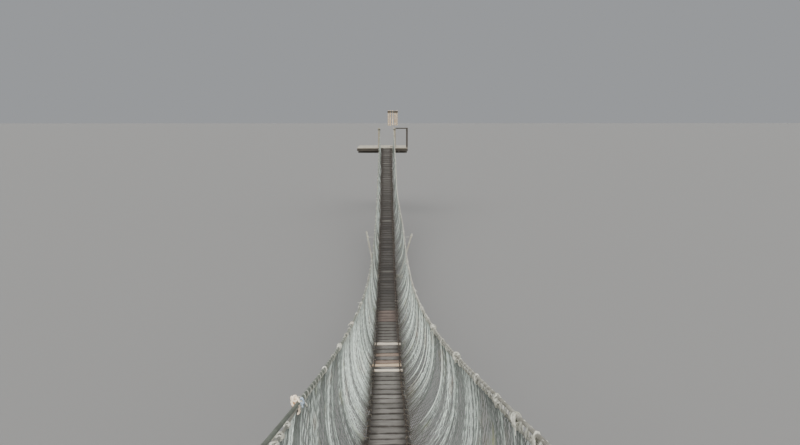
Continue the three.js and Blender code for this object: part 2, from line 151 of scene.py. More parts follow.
# The radii of the cords that no setting holds.
LASHING_CORD = 0.0040
THIN_LASHING_CORD = 0.0038
SEAM_LOOP_CORD = 0.0034
EDGE_TIE_CORD = 0.0036
LOOSE_END_CORD = 0.003
POST_CORD = 0.006
KNOT_CORD = 0.0062
POLE_CORD = 0.0045

# What follows was read off the photograph. Places along the bridge are stations.
# Seams between planks, in even plank pitches from the near end, for the planks that show best.
FIRST_SEEN_SEAM = 27
SEEN_SEAMS = (
    26.96, 27.88, 29.09, 30.37, 31.49, 32.49, 33.57, 34.58, 35.53, 36.65, 37.8, 38.8, 39.78, 41.1, 41.7, 42.5,
    43.25, 44.11, 45.25, 46.11, 47.3, 48.55, 49.3, 50.3, 51.2, 52.1,
)
# Gaps wider than the others and planks of another colour, by number.
WIDE_GAPS = {29: 0.05, 40: 0.035}
PALE_PLANKS = {
    40: "cream", 42: "fresh", 43: "pink", 45: "pink", 48: "cream", 56: "rosy", 57: "rosy", 58: "rosy",
    59: "rosy", 74: "dry", 95: "dry", 121: "dry",
}
# The stretches over which painted shade darkens the planks in the low middle of the span, and then eases a
# little again.
SAG_SHADE_STRETCH = (7.0, 16.5)
SAG_SHADE_EASING = (21.5, 27.0)
EDGE_ROPE_SHIFT = {-1: 0.014, 1: 0.0}
# Where the hand ropes' lacing starts, and how far its cords lie from each other.
LACED_FROM = {-1: 3.3, 1: 0.15}
LACING_CORDS = (0.0, 0.0095, 0.019)
# Stretches where a head rope hangs slack: how deep, and where it starts and stops coming up.
SLACKS = {-1: ((0.033, 2.6, 3.2),), 1: ((0.012, 3.3, 3.6), (0.026, 7.0, 11.5))}
KNOTS = {-1: (3.25, 6.1, 7.9, 9.75), 1: (2.3, 2.75, 3.35, 5.35, 7.5, 9.35, 11.0)}
BIG_KNOTS = (5.35, 7.5)
# The knots nearer than this are made one by one, and the thin lashings start at the second station.
NEAR_KNOTS_END = 3
THIN_LASHINGS_START = 5
# The cords that hang the walk: those that show, how far and on what curve they lean along, and where the
# taut pale ones start.
SUSPENDERS = {
    -1: (1.7, 3.25, 4.7, 6.1, 7.0, 7.9, 8.8, 9.75, 10.6, 11.4),
    1: (1.2, 2.75, 4.2, 5.5, 6.5, 7.6, 8.3, 8.65, 9.1, 9.65, 10.4, 11.0),
}
SUSPENDER_LEAN = 0.55
LEAN_CURVE = 1.4
FIRST_TAUT = {-1: 12.0, 1: 6.0}
SUSPENDER_PITCH = 1.1
# Where the nearer part ends, in which taut suspenders are often doubled and frayed ends stand closer.
NEARER_END = 12
# How much further the nets lean by the near landing, and how strongly the suspenders gather them.
NEAR_LEAN = 0.7
GATHER = {-1: 0.2, 1: 0.42}
# How high mud and painted shade darken each net's foot, left and right.
MUD_AND_SHADE_LINE = (0.15, 0.27)
MUD_AND_SHADE = (0.05, 0.043, 0.034)
# The waves that draw the strands into bunches: the size of each and how far it moves them.
BUNCHES = ((0.85, 0.27), (0.4, 0.19), (0.19, 0.07))
# How many meshes stand in the length of one, by station.
CROWDING = ((0.0, 1.75), (6.5, 1.75), (11.5, 1.0), (29.2, 1.0))
# How much painted light and shade each net's cords get, by station, from -1 for dull cord to 1 for bright.
PAINTED_NET_LIGHT = {
    -1: (
        (0.0, -0.25), (5.9, -0.1), (6.6, 0.95), (8.0, 0.95), (9.5, 0.45), (14.0, 0.1), (17.0, -0.1),
        (29.2, -0.1),
    ),
    1: (
        (0.0, -0.45), (5.0, -0.35), (5.6, 0.35), (6.3, 0.25), (6.8, -0.3), (7.8, -0.05), (9.0, 0.2),
        (11.0, 0.2), (13.5, 0.0), (16.0, -0.25), (29.2, -0.4),
    ),
}


def shade(colour, share):
    """A colour made darker or lighter by a factor."""
    return tuple(share * v for v in colour)


def along_span(values, s):
    """Values listed at even stations along the span, joined by a smooth curve."""
    values = np.asarray(values, float)
    place = np.clip(np.asarray(s, float) / SPAN * (len(values) - 1), 0, len(values) - 1)
    low = np.minimum(place.astype(int), len(values) - 2)
    t = place - low
    row = np.concatenate(([2 * values[0] - values[1]], values, [2 * values[-1] - values[-2]]))
    before, a, b, after = row[low], row[low + 1], row[low + 2], row[low + 3]
    square, cube = t * t, t * t * t
    return (
        (2 * cube - 3 * square + 1) * a
        + (cube - 2 * square + t) * (b - before) / 2
        + (3 * square - 2 * cube) * b
        + (cube - square) * (after - a) / 2
    )


def smooth_step(low, high, value):
    """Climbs smoothly from 0 at the low value to 1 at the high one."""
    t = np.clip((np.asarray(value, float) - low) / (high - low), 0, 1)
    return t * t * (3 - 2 * t)


def deck_rise(s):
    """Height of the walk over the landings' floors."""
    t = np.asarray(s, float) / SPAN
    return -4 * SAG * t * (1 - t)


def deck_lean(s):
    """The walk's angle from the level."""
    return np.arctan(-4 * SAG * (1 - 2 * np.asarray(s, float) / SPAN) / SPAN)


STATIONS = np.linspace(0, SPAN, 3001)
ARCS = np.concatenate(([0], np.cumsum(np.hypot(np.diff(STATIONS), np.diff(deck_rise(STATIONS))))))
WALK_END_GAP = 0.014
PLANK_PITCH = (ARCS[-1] - 2 * WALK_END_GAP) / PLANK_COUNT


def station_at(arc):
    """The station that is a distance along the walk's sagging line."""
    return np.interp(arc, ARCS, STATIONS)


SEAM_STATIONS = station_at(WALK_END_GAP + PLANK_PITCH * np.arange(1, PLANK_COUNT))


def crowding(s):
    """How many meshes of the net stand in the length of one: more where it is gathered together."""
    return np.interp(s, *zip(*CROWDING))


NET_LENGTHS = np.concatenate(
    ([0], np.cumsum(np.diff(STATIONS) * crowding((STATIONS[1:] + STATIONS[:-1]) / 2)))
)


def points_at(x, s, rise):
    """Points of the row frame from a place across, a station and a height over the landings' floors."""
    x, s, rise = np.broadcast_arrays(x, s, rise)
    return np.stack((x, EDGE + s, FLOOR + rise), axis=-1).astype(float)


def deck_matrix(s):
    """The walk's own frame at a station: X across, Y along, Z out of the walk's top."""
    return Matrix.Translation(points_at(0, s, deck_rise(s))) @ Matrix.Rotation(float(deck_lean(s)), 4, "X")


def hand_line(side, s):
    """The middle of a hand cable."""
    spread = side * along_span(SPREAD[side], s)
    return points_at(spread, s, deck_rise(s) + along_span(HAND_HEIGHT, s))


def head_line(side, s):
    """The rope that the net hangs from: close under the hand cable, and slack near the near landing."""
    slack = 0
    for depth, start, end in SLACKS[side]:
        slack = slack + depth * smooth_step(0, 0.8, s) * (1 - smooth_step(start, end, s))
    below = (HAND_RADIUS + HEAD_RADIUS + CLEARANCE + slack) / np.cos(deck_lean(s))
    line = hand_line(side, s)
    line[..., 2] -= below
    return line


def net_section(side, s, rise):
    """The belly curve of the net in one upright section, from the walk's edge up to the head rope."""
    head = head_line(side, s)
    foot_x = HALF_WALK + NET_FOOT_OUT
    foot_z = FLOOR + deck_rise(s) - NET_FOOT_DROP
    head_x = np.abs(head[..., 0])
    head_z = head[..., 2] - NET_HEAD_DROP
    low, high, top = 3 * rise * (1 - rise) ** 2, 3 * rise**2 * (1 - rise), rise**3
    across = low * BELLY_LOW[0] + high * BELLY_HIGH[0] + top
    up = low * BELLY_LOW[1] + high * BELLY_HIGH[1] + top
    return foot_x + across * (head_x - foot_x), foot_z + up * (head_z - foot_z)


def net_surface(side, s, height, out=0.0):
    """Points of the net at a share of its own height, moved outwards by a distance."""
    s, height, out = np.broadcast_arrays(*(np.asarray(v, float) for v in (s, height, out)))
    steps = np.linspace(0, 1, SECTION_STEPS + 1)
    x, z = net_section(side, s[..., None], steps)
    lengths = np.hypot(np.diff(x, axis=-1), np.diff(z, axis=-1))
    reached = np.concatenate((np.zeros(s.shape + (1,)), np.cumsum(lengths, axis=-1)), axis=-1)
    target = height * reached[..., -1]
    low = np.clip((reached <= target[..., None]).sum(axis=-1) - 1, 0, SECTION_STEPS - 1)[..., None]
    start = np.take_along_axis(reached, low, -1)[..., 0]
    step = np.take_along_axis(lengths, low, -1)[..., 0]
    rise = (low[..., 0] + np.clip((target - start) / step, 0, 1)) / SECTION_STEPS
    x, z = net_section(side, s, rise)
    ahead_x, ahead_z = net_section(side, s, rise + 0.01)
    turn = np.arctan2(ahead_z - z, ahead_x - x)
    x = x + out * np.sin(turn)
    z = z - out * np.cos(turn)
    return np.stack((side * x, EDGE + s, z), axis=-1)


def landing_matrix(end):
    """Where a landing's own frame stands. The near landing is the far one, turned round."""
    if end == "far":
        return Matrix.Translation((0, EDGE + SPAN, FLOOR))
    return Matrix.Translation((0, EDGE, FLOOR)) @ Matrix.Rotation(math.pi, 4, "Z")


class Value:
    """A socket in a finish's sums. Its operators add Math nodes."""

    def __init__(self, finish, socket):
        self.finish = finish
        self.socket = socket

    def math(self, operation, *values):
        return self.finish.node("ShaderNodeMath", {"operation": operation}, dict(enumerate(values)))

    def __add__(self, other):
        return self.math("ADD", self, other)

    def __sub__(self, other):
        return self.math("SUBTRACT", self, other)

    def __rsub__(self, other):
        return self.math("SUBTRACT", other, self)

    def __mul__(self, other):
        return self.math("MULTIPLY", self, other)

    def __abs__(self):
        return self.math("ABSOLUTE", self)

    __rmul__ = __mul__


class Finish:
    """A procedural material, built around one Principled shader."""

    def __init__(self, name, roughness, metallic=0.0):
        self.material = bpy.data.materials.new(name)
        self.material.use_nodes = True
        self.tree = self.material.node_tree
        self.shader = self.tree.nodes["Principled BSDF"]
        self.shader.inputs["Roughness"].default_value = roughness
        self.shader.inputs["Metallic"].default_value = metallic

    def node(self, kind, settings, inputs, output=0):
        """Adds a node: its settings first, then the values or links of its sockets."""
        made = self.tree.nodes.new(kind)
        for name, value in settings.items():
            setattr(made, name, value)
        for name, value in inputs.items():
            if isinstance(value, Value):
                self.tree.links.new(value.socket, made.inputs[name])
            else:
                made.inputs[name].default_value = value
        return Value(self, made.outputs[output])

    def place(self, source="Object"):
        return self.node("ShaderNodeTexCoord", {}, {}, source)

    def attribute(self, name, output="Fac"):
        return self.node("ShaderNodeAttribute", {"attribute_name": name}, {}, output)

    def cloud(self, place, scale, detail=4, roughness=0.55, stretch=None):
        """Even noise, or noise drawn out where the stretch is small."""
        if stretch is not None:
            place = self.node("ShaderNodeMapping", {}, {"Vector": place, "Scale": stretch})
        inputs = {"Vector": place, "Scale": scale, "Detail": detail, "Roughness": roughness}
        return self.node("ShaderNodeTexNoise", {}, inputs)

    def span(self, value, low, high, to_low=0.0, to_high=1.0):
        """A value mapped from one range to another, and held inside it."""
        names = ("Value", "From Min", "From Max", "To Min", "To Max")
        return self.node("ShaderNodeMapRange", {}, dict(zip(names, (value, low, high, to_low, to_high))))

    def mix(self, factor, first, second):
        first, second = ((*c, 1) if isinstance(c, tuple) else c for c in (first, second))
        return self.node("ShaderNodeMix", {"data_type": "RGBA"}, {0: factor, 6: first, 7: second}, 2)

    def cover(self, under, over, value, low, high, least=0.0, most=1.0):
        """One colour laid over another as a value goes from low to high."""
        return self.mix(self.span(value, low, high, least, most), under, over)

    def split(self, vector, axis):
        return self.node("ShaderNodeSeparateXYZ", {}, {"Vector": vector}, axis)

    def surface(self, colour, roughness=None):
        self.tree.links.new(colour.socket, self.shader.inputs["Base Color"])
        if roughness is not None:
            self.tree.links.new(roughness.socket, self.shader.inputs["Roughness"])

    def bump(self, height, strength, distance):
        inputs = {"Strength": strength, "Distance": distance, "Height": height}
        normal = self.node("ShaderNodeBump", {}, inputs)
        self.tree.links.new(normal.socket, self.shader.inputs["Normal"])


def wood_finish(name, pale, dark, worn, tone_share=0.5, on_nodes=None):
    """Weathered wood. The grain follows each board's own length, or an axis scale where CAD nodes wear it."""
    finish = Finish(name, 0.86)
    if on_nodes is None:
        place = finish.attribute("grain", "Vector")
        long_way = (3, 45, 45)
        tone = finish.attribute("tone")
    else:
        place = finish.place()
        long_way = on_nodes
        tone = finish.cloud(place, 0.9, 1)
    fibres = finish.cloud(place, 1.0, 6, 0.62, long_way)
    lines = finish.cloud(place, 1.0, 3, 0.6, shade(long_way, 3.2))
    blotches = finish.cloud(place, 5.5, 4, 0.6)
    body = finish.cover(dark, pale, fibres, 0.34, 0.66)
    toned = finish.cover(body, dark, tone, 0, 1, 0, tone_share)
    weathered = finish.cover(toned, worn, blotches, 0.5, 0.72, 0, 0.75)
    split = finish.cover(weathered, shade(dark, 0.35), lines, 0.3, 0.4, 0.75, 0)
    finish.surface(split, finish.span(blotches, 0.3, 0.7, 0.78, 0.95))
    finish.bump(fibres * 0.6 + finish.span(lines, 0.36, 0.44) * 0.5, 0.55, 0.0015)
    return finish.material


def plank_finish(name, pale, dark, edge, gap_grime_and_shade=0.85, end_grime_and_shade=0.85):
    """A walked plank: grey along its middle, brown and dark by the gaps and at its ends, with grime and
    painted shade: shade in the gaps and the nets' shadow over the ends.
    """
    finish = Finish(name, 0.88)
    place = finish.attribute("grain", "Vector")
    tone = finish.attribute("tone")
    across = abs(finish.attribute("across"))
    ends = abs(finish.attribute("lengthwise"))
    fibres = finish.cloud(place, 1.0, 6, 0.62, (4, 70, 70))
    lines = finish.cloud(place, 1.0, 3, 0.6, (7, 240, 240))
    blotches = finish.cloud(place, 9, 5, 0.62)
    body = finish.cover(dark, pale, fibres, 0.34, 0.66)
    # The tone lays painted shade over the planks in the low middle of the span, and gives each plank its own
    # tone.
    toned = finish.mix(tone, body, shade(dark, 0.14))
    # Darker by the gaps: grime, and painted shade in the gaps.
    bordered = finish.cover(toned, edge, across + (blotches - 0.5) * 0.6, 0.66, 0.98, 0, gap_grime_and_shade)
    # Darker towards both ends: grime, and the painted shadow of the nets.
    ended = finish.cover(bordered, edge, ends + (blotches - 0.5) * 0.35, 0.36, 0.84, 0, end_grime_and_shade)
    split = finish.cover(ended, shade(edge, 0.3), lines, 0.3, 0.42, 0.8, 0)
    finish.surface(split, finish.span(blotches, 0.3, 0.7, 0.8, 0.96))
    finish.bump(fibres * 0.5 + finish.span(lines, 0.34, 0.46) * 0.6, 0.6, 0.0015)
    return finish.material


def rope_finish(name, pale, dark, stain, pitch=0.03, strands=3, roughness=0.9, depth=0.002):
    """Laid rope. The strands wind round it, in the rope's own UV map, whose U is in metres."""
    finish = Finish(name, roughness)
    place = finish.place()
    chart = finish.place("UV")
    turn = finish.split(chart, 0) * (1 / pitch) + finish.split(chart, 1)
    strand = turn.math("PINGPONG", turn * strands, 0.5) * 2
    crown = finish.span(strand, 0.0, 0.75)
    fuzz = finish.cloud(place, 260, 3, 0.6)
    wear = finish.cloud(place, 6.5, 5, 0.65)
    body = finish.cover(dark, pale, wear, 0.36, 0.64)
    stained = finish.cover(body, stain, wear, 0.6, 0.74, 0, 0.8)
    # The grooves between the strands are darkened: painted shade.
    finish.surface(finish.cover(stained, shade(dark, 0.3), crown, 0, 0.8, 0.65, 0))
    finish.bump(crown + fuzz * 0.5, 0.8, depth)
    return finish.material


def over_walk(finish, place):
    """Height over the walk's own sagging line, from the place in the row frame."""
    along = (finish.split(place, 1) - EDGE) * (1 / SPAN)
    return finish.split(place, 2) - FLOOR + 4 * SAG * (along * (1 - along))


def cord_finish(name, pale, dark, stain, moss=None):
    """Thin cord of the nets and lashings, stained in patches. With a moss colour it is a net's, which is
    mossy and dark in streaks, darkened with painted shade near its head, and with mud and painted shade at
    its foot."""
    finish = Finish(name, 0.93)
    place = finish.place()
    wear = finish.cloud(place, 14, 5, 0.65)
    patches = finish.cloud(place, 1.6, 4, 0.6, (1.0, 0.8, 1.3))
    fuzz = finish.cloud(place, 320, 2, 0.6)
    coloured = finish.cover(dark, pale, wear, 0.38, 0.6)
    coloured = finish.cover(coloured, stain, patches, 0.56, 0.7, 0, 0.7)
    if moss is not None:
        growth = finish.cloud(place, 2.3, 4, 0.6, (1.0, 1.0, 0.7))
        streaks = finish.cloud(place, 2.0, 6, 0.8, (1.0, 1.6, 0.8))
        rise = over_walk(finish, place)
        mud_and_shade_line = finish.span(finish.split(place, 0), -0.1, 0.1, *MUD_AND_SHADE_LINE)
        coloured = finish.cover(coloured, moss, growth, 0.6, 0.72, 0, 0.65)
        coloured = finish.cover(coloured, shade(dark, 0.4), streaks, 0.4, 0.5, 0.35, 0)
        # Darker near the head rope: painted shade.
        coloured = finish.cover(coloured, shade(dark, 0.5), rise + (growth - 0.5) * 0.25, 0.86, 1.14, 0, 0.6)
        # Darker at the foot: mud, and painted shade by the walk's edge.
        coloured = finish.cover(coloured, MUD_AND_SHADE, rise + (growth - 0.5) * 0.12, 0.0, mud_and_shade_line, 0.93, 0)
    finish.surface(coloured)
    finish.bump(fuzz, 0.5, 0.0006)
    return finish.material


def steel_finish(name, colour, rust):
    finish = Finish(name, 0.5, 0.75)
    patches = finish.cloud(finish.place(), 40, 5, 0.65)
    rough = finish.span(patches, 0.4, 0.6, 0.4, 0.9)
    finish.surface(finish.cover(colour, rust, patches, 0.45, 0.6), rough)
    finish.bump(patches, 0.4, 0.0005)
    return finish.material


class Piece:
    """One object made of closed bodies that are set side by side in the row frame."""

    def __init__(self, name):
        self.name = name
        self.bm = bmesh.new()
        self.finishes = []

    def add(self, body, material, place=None, smooth=False):
        """Takes in a body made by bmesh, put in its place."""
        if place is not None:
            body.transform(place)
        for face in body.faces:
            face.smooth = smooth
        mesh = bpy.data.meshes.new("body")
        body.to_mesh(mesh)
        body.free()
        self.add_mesh(mesh, material)

    def add_cords(self, lines, material, sides=4):
        """Takes in round cords: lines of points, each with a radius or a radius for each point."""
        self.add_mesh(cord_mesh(lines, sides), material)

    def add_rope(self, points, radius, material, sides=8):
        """Takes in one long rope, with the UV map that its strands wind in."""
        self.add_mesh(rope_mesh(points, radius, sides), material)

    def add_mesh(self, mesh, material):
        if material not in self.finishes:
            self.finishes.append(material)
        mesh.polygons.foreach_set("material_index", [self.finishes.index(material)] * len(mesh.polygons))
        self.bm.from_mesh(mesh)
        bpy.data.meshes.remove(mesh)

    def finish(self, slot, *replaced):
        """Makes the object, which rides on the one body and may stand for nodes of the frame."""
        bmesh.ops.remove_doubles(self.bm, verts=self.bm.verts, dist=1e-5)
        mesh = bpy.data.meshes.new(self.name)
        self.bm.to_mesh(mesh)
        self.bm.free()
        for material in self.finishes:
            mesh.materials.append(material)
        made = bpy.data.objects.new(self.name, mesh)
        bpy.context.scene.collection.objects.link(made)
        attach(made, "root")
        if replaced:
            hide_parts(*replaced)


def cord_mesh(lines, sides):
    """A mesh of round cords from lines of points with their radii."""
    curve = bpy.data.curves.new("cords", "CURVE")
    curve.dimensions = "3D"
    curve.bevel_depth = 1
    curve.bevel_resolution = (sides - 4) // 2
    curve.use_fill_caps = True
    for points, radius in lines:
        spline = curve.splines.new("POLY")
        spline.points.add(len(points) - 1)
        places = np.ones((len(points), 4))
        places[:, :3] = points
        spline.points.foreach_set("co", places.ravel())
        spline.points.foreach_set("radius", np.broadcast_to(radius, len(points)).astype(float))
        spline.use_smooth = True
    holder = bpy.data.objects.new("cords", curve)
    bpy.context.scene.collection.objects.link(holder)
    graph = bpy.context.evaluated_depsgraph_get()
    mesh = bpy.data.meshes.new_from_object(holder.evaluated_get(graph))
    bpy.data.objects.remove(holder)
    bpy.data.curves.remove(curve)
    return mesh


def rope_mesh(points, radius, sides):
    """One long rope, with its UV map's U in metres."""
    mesh = cord_mesh([(points, radius)], sides)
    length = np.linalg.norm(np.diff(points, axis=0), axis=1).sum()
    chart = mesh.uv_layers.active.data
    places = np.zeros(2 * len(chart))
    chart.foreach_get("uv", places)
    places[0::2] *= length
    chart.foreach_set("uv", places)
    return mesh


def mark(body, tone, shift):
    """Keeps each corner's place in its own board, for the grain, and the board's tone."""
    grain = body.verts.layers.float_vector.new("grain")
    tones = body.verts.layers.float.new("tone")
    for vert in body.verts:
        vert[grain] = vert.co + Vector((0.37 * shift, 1.13 * shift, 0.71 * shift))
        vert[tones] = tone


def roughen(body, amount, size, shift):
    """Moves the corners a little, as wear and warping do."""
    for vert in body.verts:
        vert.co += noise.noise_vector(vert.co / size + Vector((shift, 2 * shift, 3 * shift))) * amount


def edges_along(body, axis, least):
    """The edges that reach further than a distance along one axis."""
    return [e for e in body.edges if abs(e.verts[0].co[axis] - e.verts[1].co[axis]) > least]


def wear_edges(body, edges, width, segments=1):
    bmesh.ops.bevel(
        body, geom=edges, offset=width, segments=segments, affect="EDGES", profile=0.5, material=-1
    )


def cut_across(body, edges, cuts):
    """Divides edges that run side by side, so that the body can bend and wear."""
    bmesh.ops.subdivide_edges(body, edges=edges, cuts=cuts, use_grid_fill=True)


def sawn_block(size, bevel, cuts):
    """A block about the origin with worn edges, its longest way along its own X."""
    body = bmesh.new()
    bmesh.ops.create_cube(body, size=1)
    bmesh.ops.scale(body, vec=size, verts=body.verts)
    wear_edges(body, body.edges[:], bevel)
    if cuts:
        cut_across(body, edges_along(body, 0, size[0] / 2), cuts)
    return body


def add_cone(body, segments, low_radius, high_radius, depth, lift=0.0):
    """Adds a closed round or many-sided form, its axis along Z."""
    bmesh.ops.create_cone(
        body, cap_ends=True, segments=segments, radius1=low_radius, radius2=high_radius, depth=depth,
        matrix=Matrix.Translation((0, 0, lift)),
    )
    return body


def board_between(low, high, upright=False, bevel=0.003, cuts=6, tone=0.5, shift=0.0, rough=0.0015):
    """A sawn board that fills a box, its grain along X, or up where it stands upright."""
    low, high = Vector(low), Vector(high)
    size = high - low
    body = sawn_block(size.zyx if upright else size, bevel, cuts)
    mark(body, tone, shift)
    roughen(body, rough, 0.11, shift)
    turn = Matrix.Rotation(math.pi / 2, 4, "Y") if upright else Matrix.Identity(4)
    body.transform(Matrix.Translation((low + high) / 2) @ turn)
    return body


def log_between(low, high, radii, segments=14, cuts=14, tone=0.4, shift=0.0, bend=0.0):
    """A trimmed round pole between two points, its grain along its own X."""
    low, high = Vector(low), Vector(high)
    length = (high - low).length
    body = add_cone(bmesh.new(), segments, *radii, length)
    long_edges = set(edges_along(body, 2, length / 2))
    wear_edges(body, [e for e in body.edges if e not in long_edges], min(radii) * 0.18, 2)
    cut_across(body, edges_along(body, 2, length / 2), cuts)
    body.transform(Matrix.Rotation(math.pi / 2, 4, "Y"))
    mark(body, tone, shift)
    roughen(body, 0.003, 0.07, shift)
    for vert in body.verts:
        vert.co.z += bend * math.sin(math.pi * (vert.co.x / length + 0.5))
    turn = Vector((1, 0, 0)).rotation_difference(high - low).to_matrix().to_4x4()
    body.transform(Matrix.Translation((low + high) / 2) @ turn)
    return body


def winding(middle, axis, start_way, radius, pitch, turns, steps=12, lead=0.0):
    """Points of a cord wound round an axis, each turn beside the last. Two radii make it oval."""
    axis, start_way = Vector(axis).normalized(), Vector(start_way)
    start_way = (start_way - axis * start_way.dot(axis)).normalized()
    other = axis.cross(start_way)
    angles = np.linspace(0, 2 * math.pi * turns, int(steps * turns) + 1) + lead
    wide, high = radius if isinstance(radius, tuple) else (radius, radius)
    climb = (angles - lead) / (2 * math.pi) * pitch - pitch * turns / 2
    return (
        np.array(middle)
        + np.outer(climb, axis)
        + np.outer(wide * np.cos(angles), start_way)
        + np.outer(high * np.sin(angles), other)
    )


def hang(points, length, way, droop=0.7):
    """Adds a loose end of cord to a line of points, which turns down as it goes."""
    points = [np.array(p) for p in points]
    heading = Vector(way).normalized()
    steps = 6
    for _ in range(steps):
        heading = (heading + Vector((0, 0, -droop / 2))).normalized()
        points.append(points[-1] + np.array(heading) * length / steps)
    return np.array(points)


def rope_middle(side, s):
    """Midway between the hand cable and the head rope."""
    return (hand_line(side, s) + head_line(side, s)) / 2


def rope_frame(side, s):
    """The middle of the hand cable and head rope, and the directions along, across and up."""
    along = Vector(hand_line(side, s + 0.02) - hand_line(side, s - 0.02)).normalized()
    across = Vector((1, 0, 0)) - along * along.x
    across.normalize()
    return Vector(rope_middle(side, s)), along, across, across.cross(along)


length_setting = partial(bpy.props.FloatProperty, unit="LENGTH", subtype="DISTANCE")
colour_setting = partial(bpy.props.FloatVectorProperty, subtype="COLOR", min=0, max=1)
light_setting = partial(bpy.props.FloatProperty, min=0, max=20)


class PlankSettings(bpy.types.PropertyGroup):
    """Sizes and colours of the walk."""

    half_length: length_setting(
        name="Half length", description="From the middle of the walk to a plank's end", default=0.28,
        min=0.2, max=0.6,
    )
    gap: length_setting(name="Gap", description="Mean gap between planks", default=0.023, min=0.003, max=0.05)
    pale: colour_setting(
        name="Pale wood", description="The walked middle of the planks",
        default=(0.31, 0.30, 0.275),
    )
    # The dark wood is also the colour that the painted shade darkens the planks towards.
    dark: colour_setting(
        name="Dark wood", description="The grain and the damp planks",
        default=(0.165, 0.15, 0.135),
    )
    # The edge colour is also the painted shade by the gaps and at the plank ends.
    edge: colour_setting(
        name="Edges", description="The brown of a plank's edges and ends", default=(0.030, 0.024, 0.020)
    )


class RopeSettings(bpy.types.PropertyGroup):
    """Sizes and colours of the ropes along the bridge."""

    lacing_pitch: length_setting(
        name="Lacing pitch", description="From one turn of the lacing cord to the next", default=0.14,
        min=0.03, max=0.3,
    )
    lacing_radius: length_setting(
        name="Lacing cord radius", description="Of the cord round the hand cable and head rope",
        default=0.0038, min=0.001, max=0.01,
    )
    edge_rope_radius: length_setting(
        name="Edge rope radius", description="Of the ropes over the plank ends", default=0.010,
        min=0.004, max=0.03,
    )
    edge_rope_place: length_setting(
        name="Edge rope place", description="From the middle of the walk to an edge rope", default=0.236,
        min=0.1, max=0.4,
    )
    cable: colour_setting(
        name="Cable", description="The grey-green of the hand cables",
        default=(0.17, 0.19, 0.155),
    )
    rope: colour_setting(
        name="Head rope", description="The pale rope that the nets hang from", default=(0.4, 0.4, 0.345)
    )


class NetSettings(bpy.types.PropertyGroup):
    """Sizes and colours of the side nets."""

    mesh_length: length_setting(
        name="Mesh length", description="Of a net mesh along the bridge", default=0.104, min=0.08, max=0.4
    )
    half_rows: bpy.props.IntProperty(
        name="Half rows", description="Half meshes from the walk to the head rope", default=26, min=8, max=44
    )
    cord_radius: length_setting(
        name="Cord radius", description="Of the net's cord", default=0.0049, min=0.001, max=0.01
    )
    fold_depth: length_setting(
        name="Fold depth", description="How far the slack net stands out in folds", default=0.018,
        min=0, max=0.1,
    )
    pale: colour_setting(
        name="Cord", description="The pale grey-green of the net",
        default=(0.78, 0.88, 0.81),
    )


class LandingSettings(bpy.types.PropertyGroup):
    """Sizes and colours of the timber landings."""

    board_width: length_setting(
        name="Board width", description="Of a floor board", default=0.145, min=0.08, max=0.3
    )
    board_gap: length_setting(
        name="Board gap", description="Between floor boards", default=0.010, min=0.002, max=0.03
    )
    pale: colour_setting(
        name="Boards", description="The sun-bleached floor boards",
        default=(0.46, 0.42, 0.34),
    )
    timber: colour_setting(
        name="Beams", description="The damp dark beams and rails",
        default=(0.024, 0.02, 0.015),
    )


class StageSettings(bpy.types.PropertyGroup):
    """The floor, lights and camera."""

    lens: bpy.props.FloatProperty(
        name="Lens", description="The camera's focal length in millimetres", default=24.0, min=10, max=120,
        unit="CAMERA",
    )
    pitch: bpy.props.FloatProperty(
        name="Look down", description="The camera's tilt under the level", default=math.radians(11.3),
        subtype="ANGLE",
    )
    yaw: bpy.props.FloatProperty(
        name="Look right", description="The camera's turn from the bridge's own line",
        default=math.radians(1.43), subtype="ANGLE",
    )
    eye_height: length_setting(
        name="Eye height", description="The camera over the near landing's floor", default=1.695
    )
    floor_colour: colour_setting(name="Floor", description="The plain floor", default=(0.18, 0.18, 0.178))
    sky: light_setting(
        name="Soft light", description="Strength of the even light from all round",
        default=0.37,
    )
    sun: light_setting(name="Key light", description="Strength of the wide soft key light", default=2.8)
    fill: light_setting(
        name="Fill light", description="Strength of the softer light across from it", default=1.8
    )
    low: light_setting(
        name="Low light", description="Strength of the low light from the near landing's side", default=3.6
    )


def sag_shade_share(s):
    """How much painted shade darkens the planks: none by the near landing, darkest past the low middle."""
    return float(smooth_step(*SAG_SHADE_STRETCH, s) * (1.01 - 0.15 * smooth_step(*SAG_SHADE_EASING, s)))


def plank_body(rng, half_length, width, number, damp):
    """One plank with its own length, cup and twist, marked for its edges and ends, which are darkened with
    grime and painted shade.
    """
    length = 2 * half_length + rng.uniform(-0.022, 0.018)
    body = sawn_block((length, width, PLANK_THICKNESS), 0.004, 9)
    cut_across(body, edges_along(body, 1, width / 2), 2)
    # Damp is the share of painted shade from the low middle of the span; the random part is the plank's own
    # tone.
    tone = damp * (0.97 - 0.15 * rng.random()) + 0.35 * max(0.0, 1 - damp) * rng.random() ** 1.8
    mark(body, min(1.0, tone), number)
    across = body.verts.layers.float.new("across")
    lengthwise = body.verts.layers.float.new("lengthwise")
    cup = rng.uniform(-0.0025, 0.0035)
    twist = rng.uniform(-0.008, 0.008)
    for vert in body.verts:
        vert[across] = 2 * vert.co.y / width
        vert[lengthwise] = vert.co.x / half_length
        vert.co.z += cup * vert[across] ** 2 + twist * vert.co.x * vert[across]
    roughen(body, 0.0035, 0.09, number)
    return body


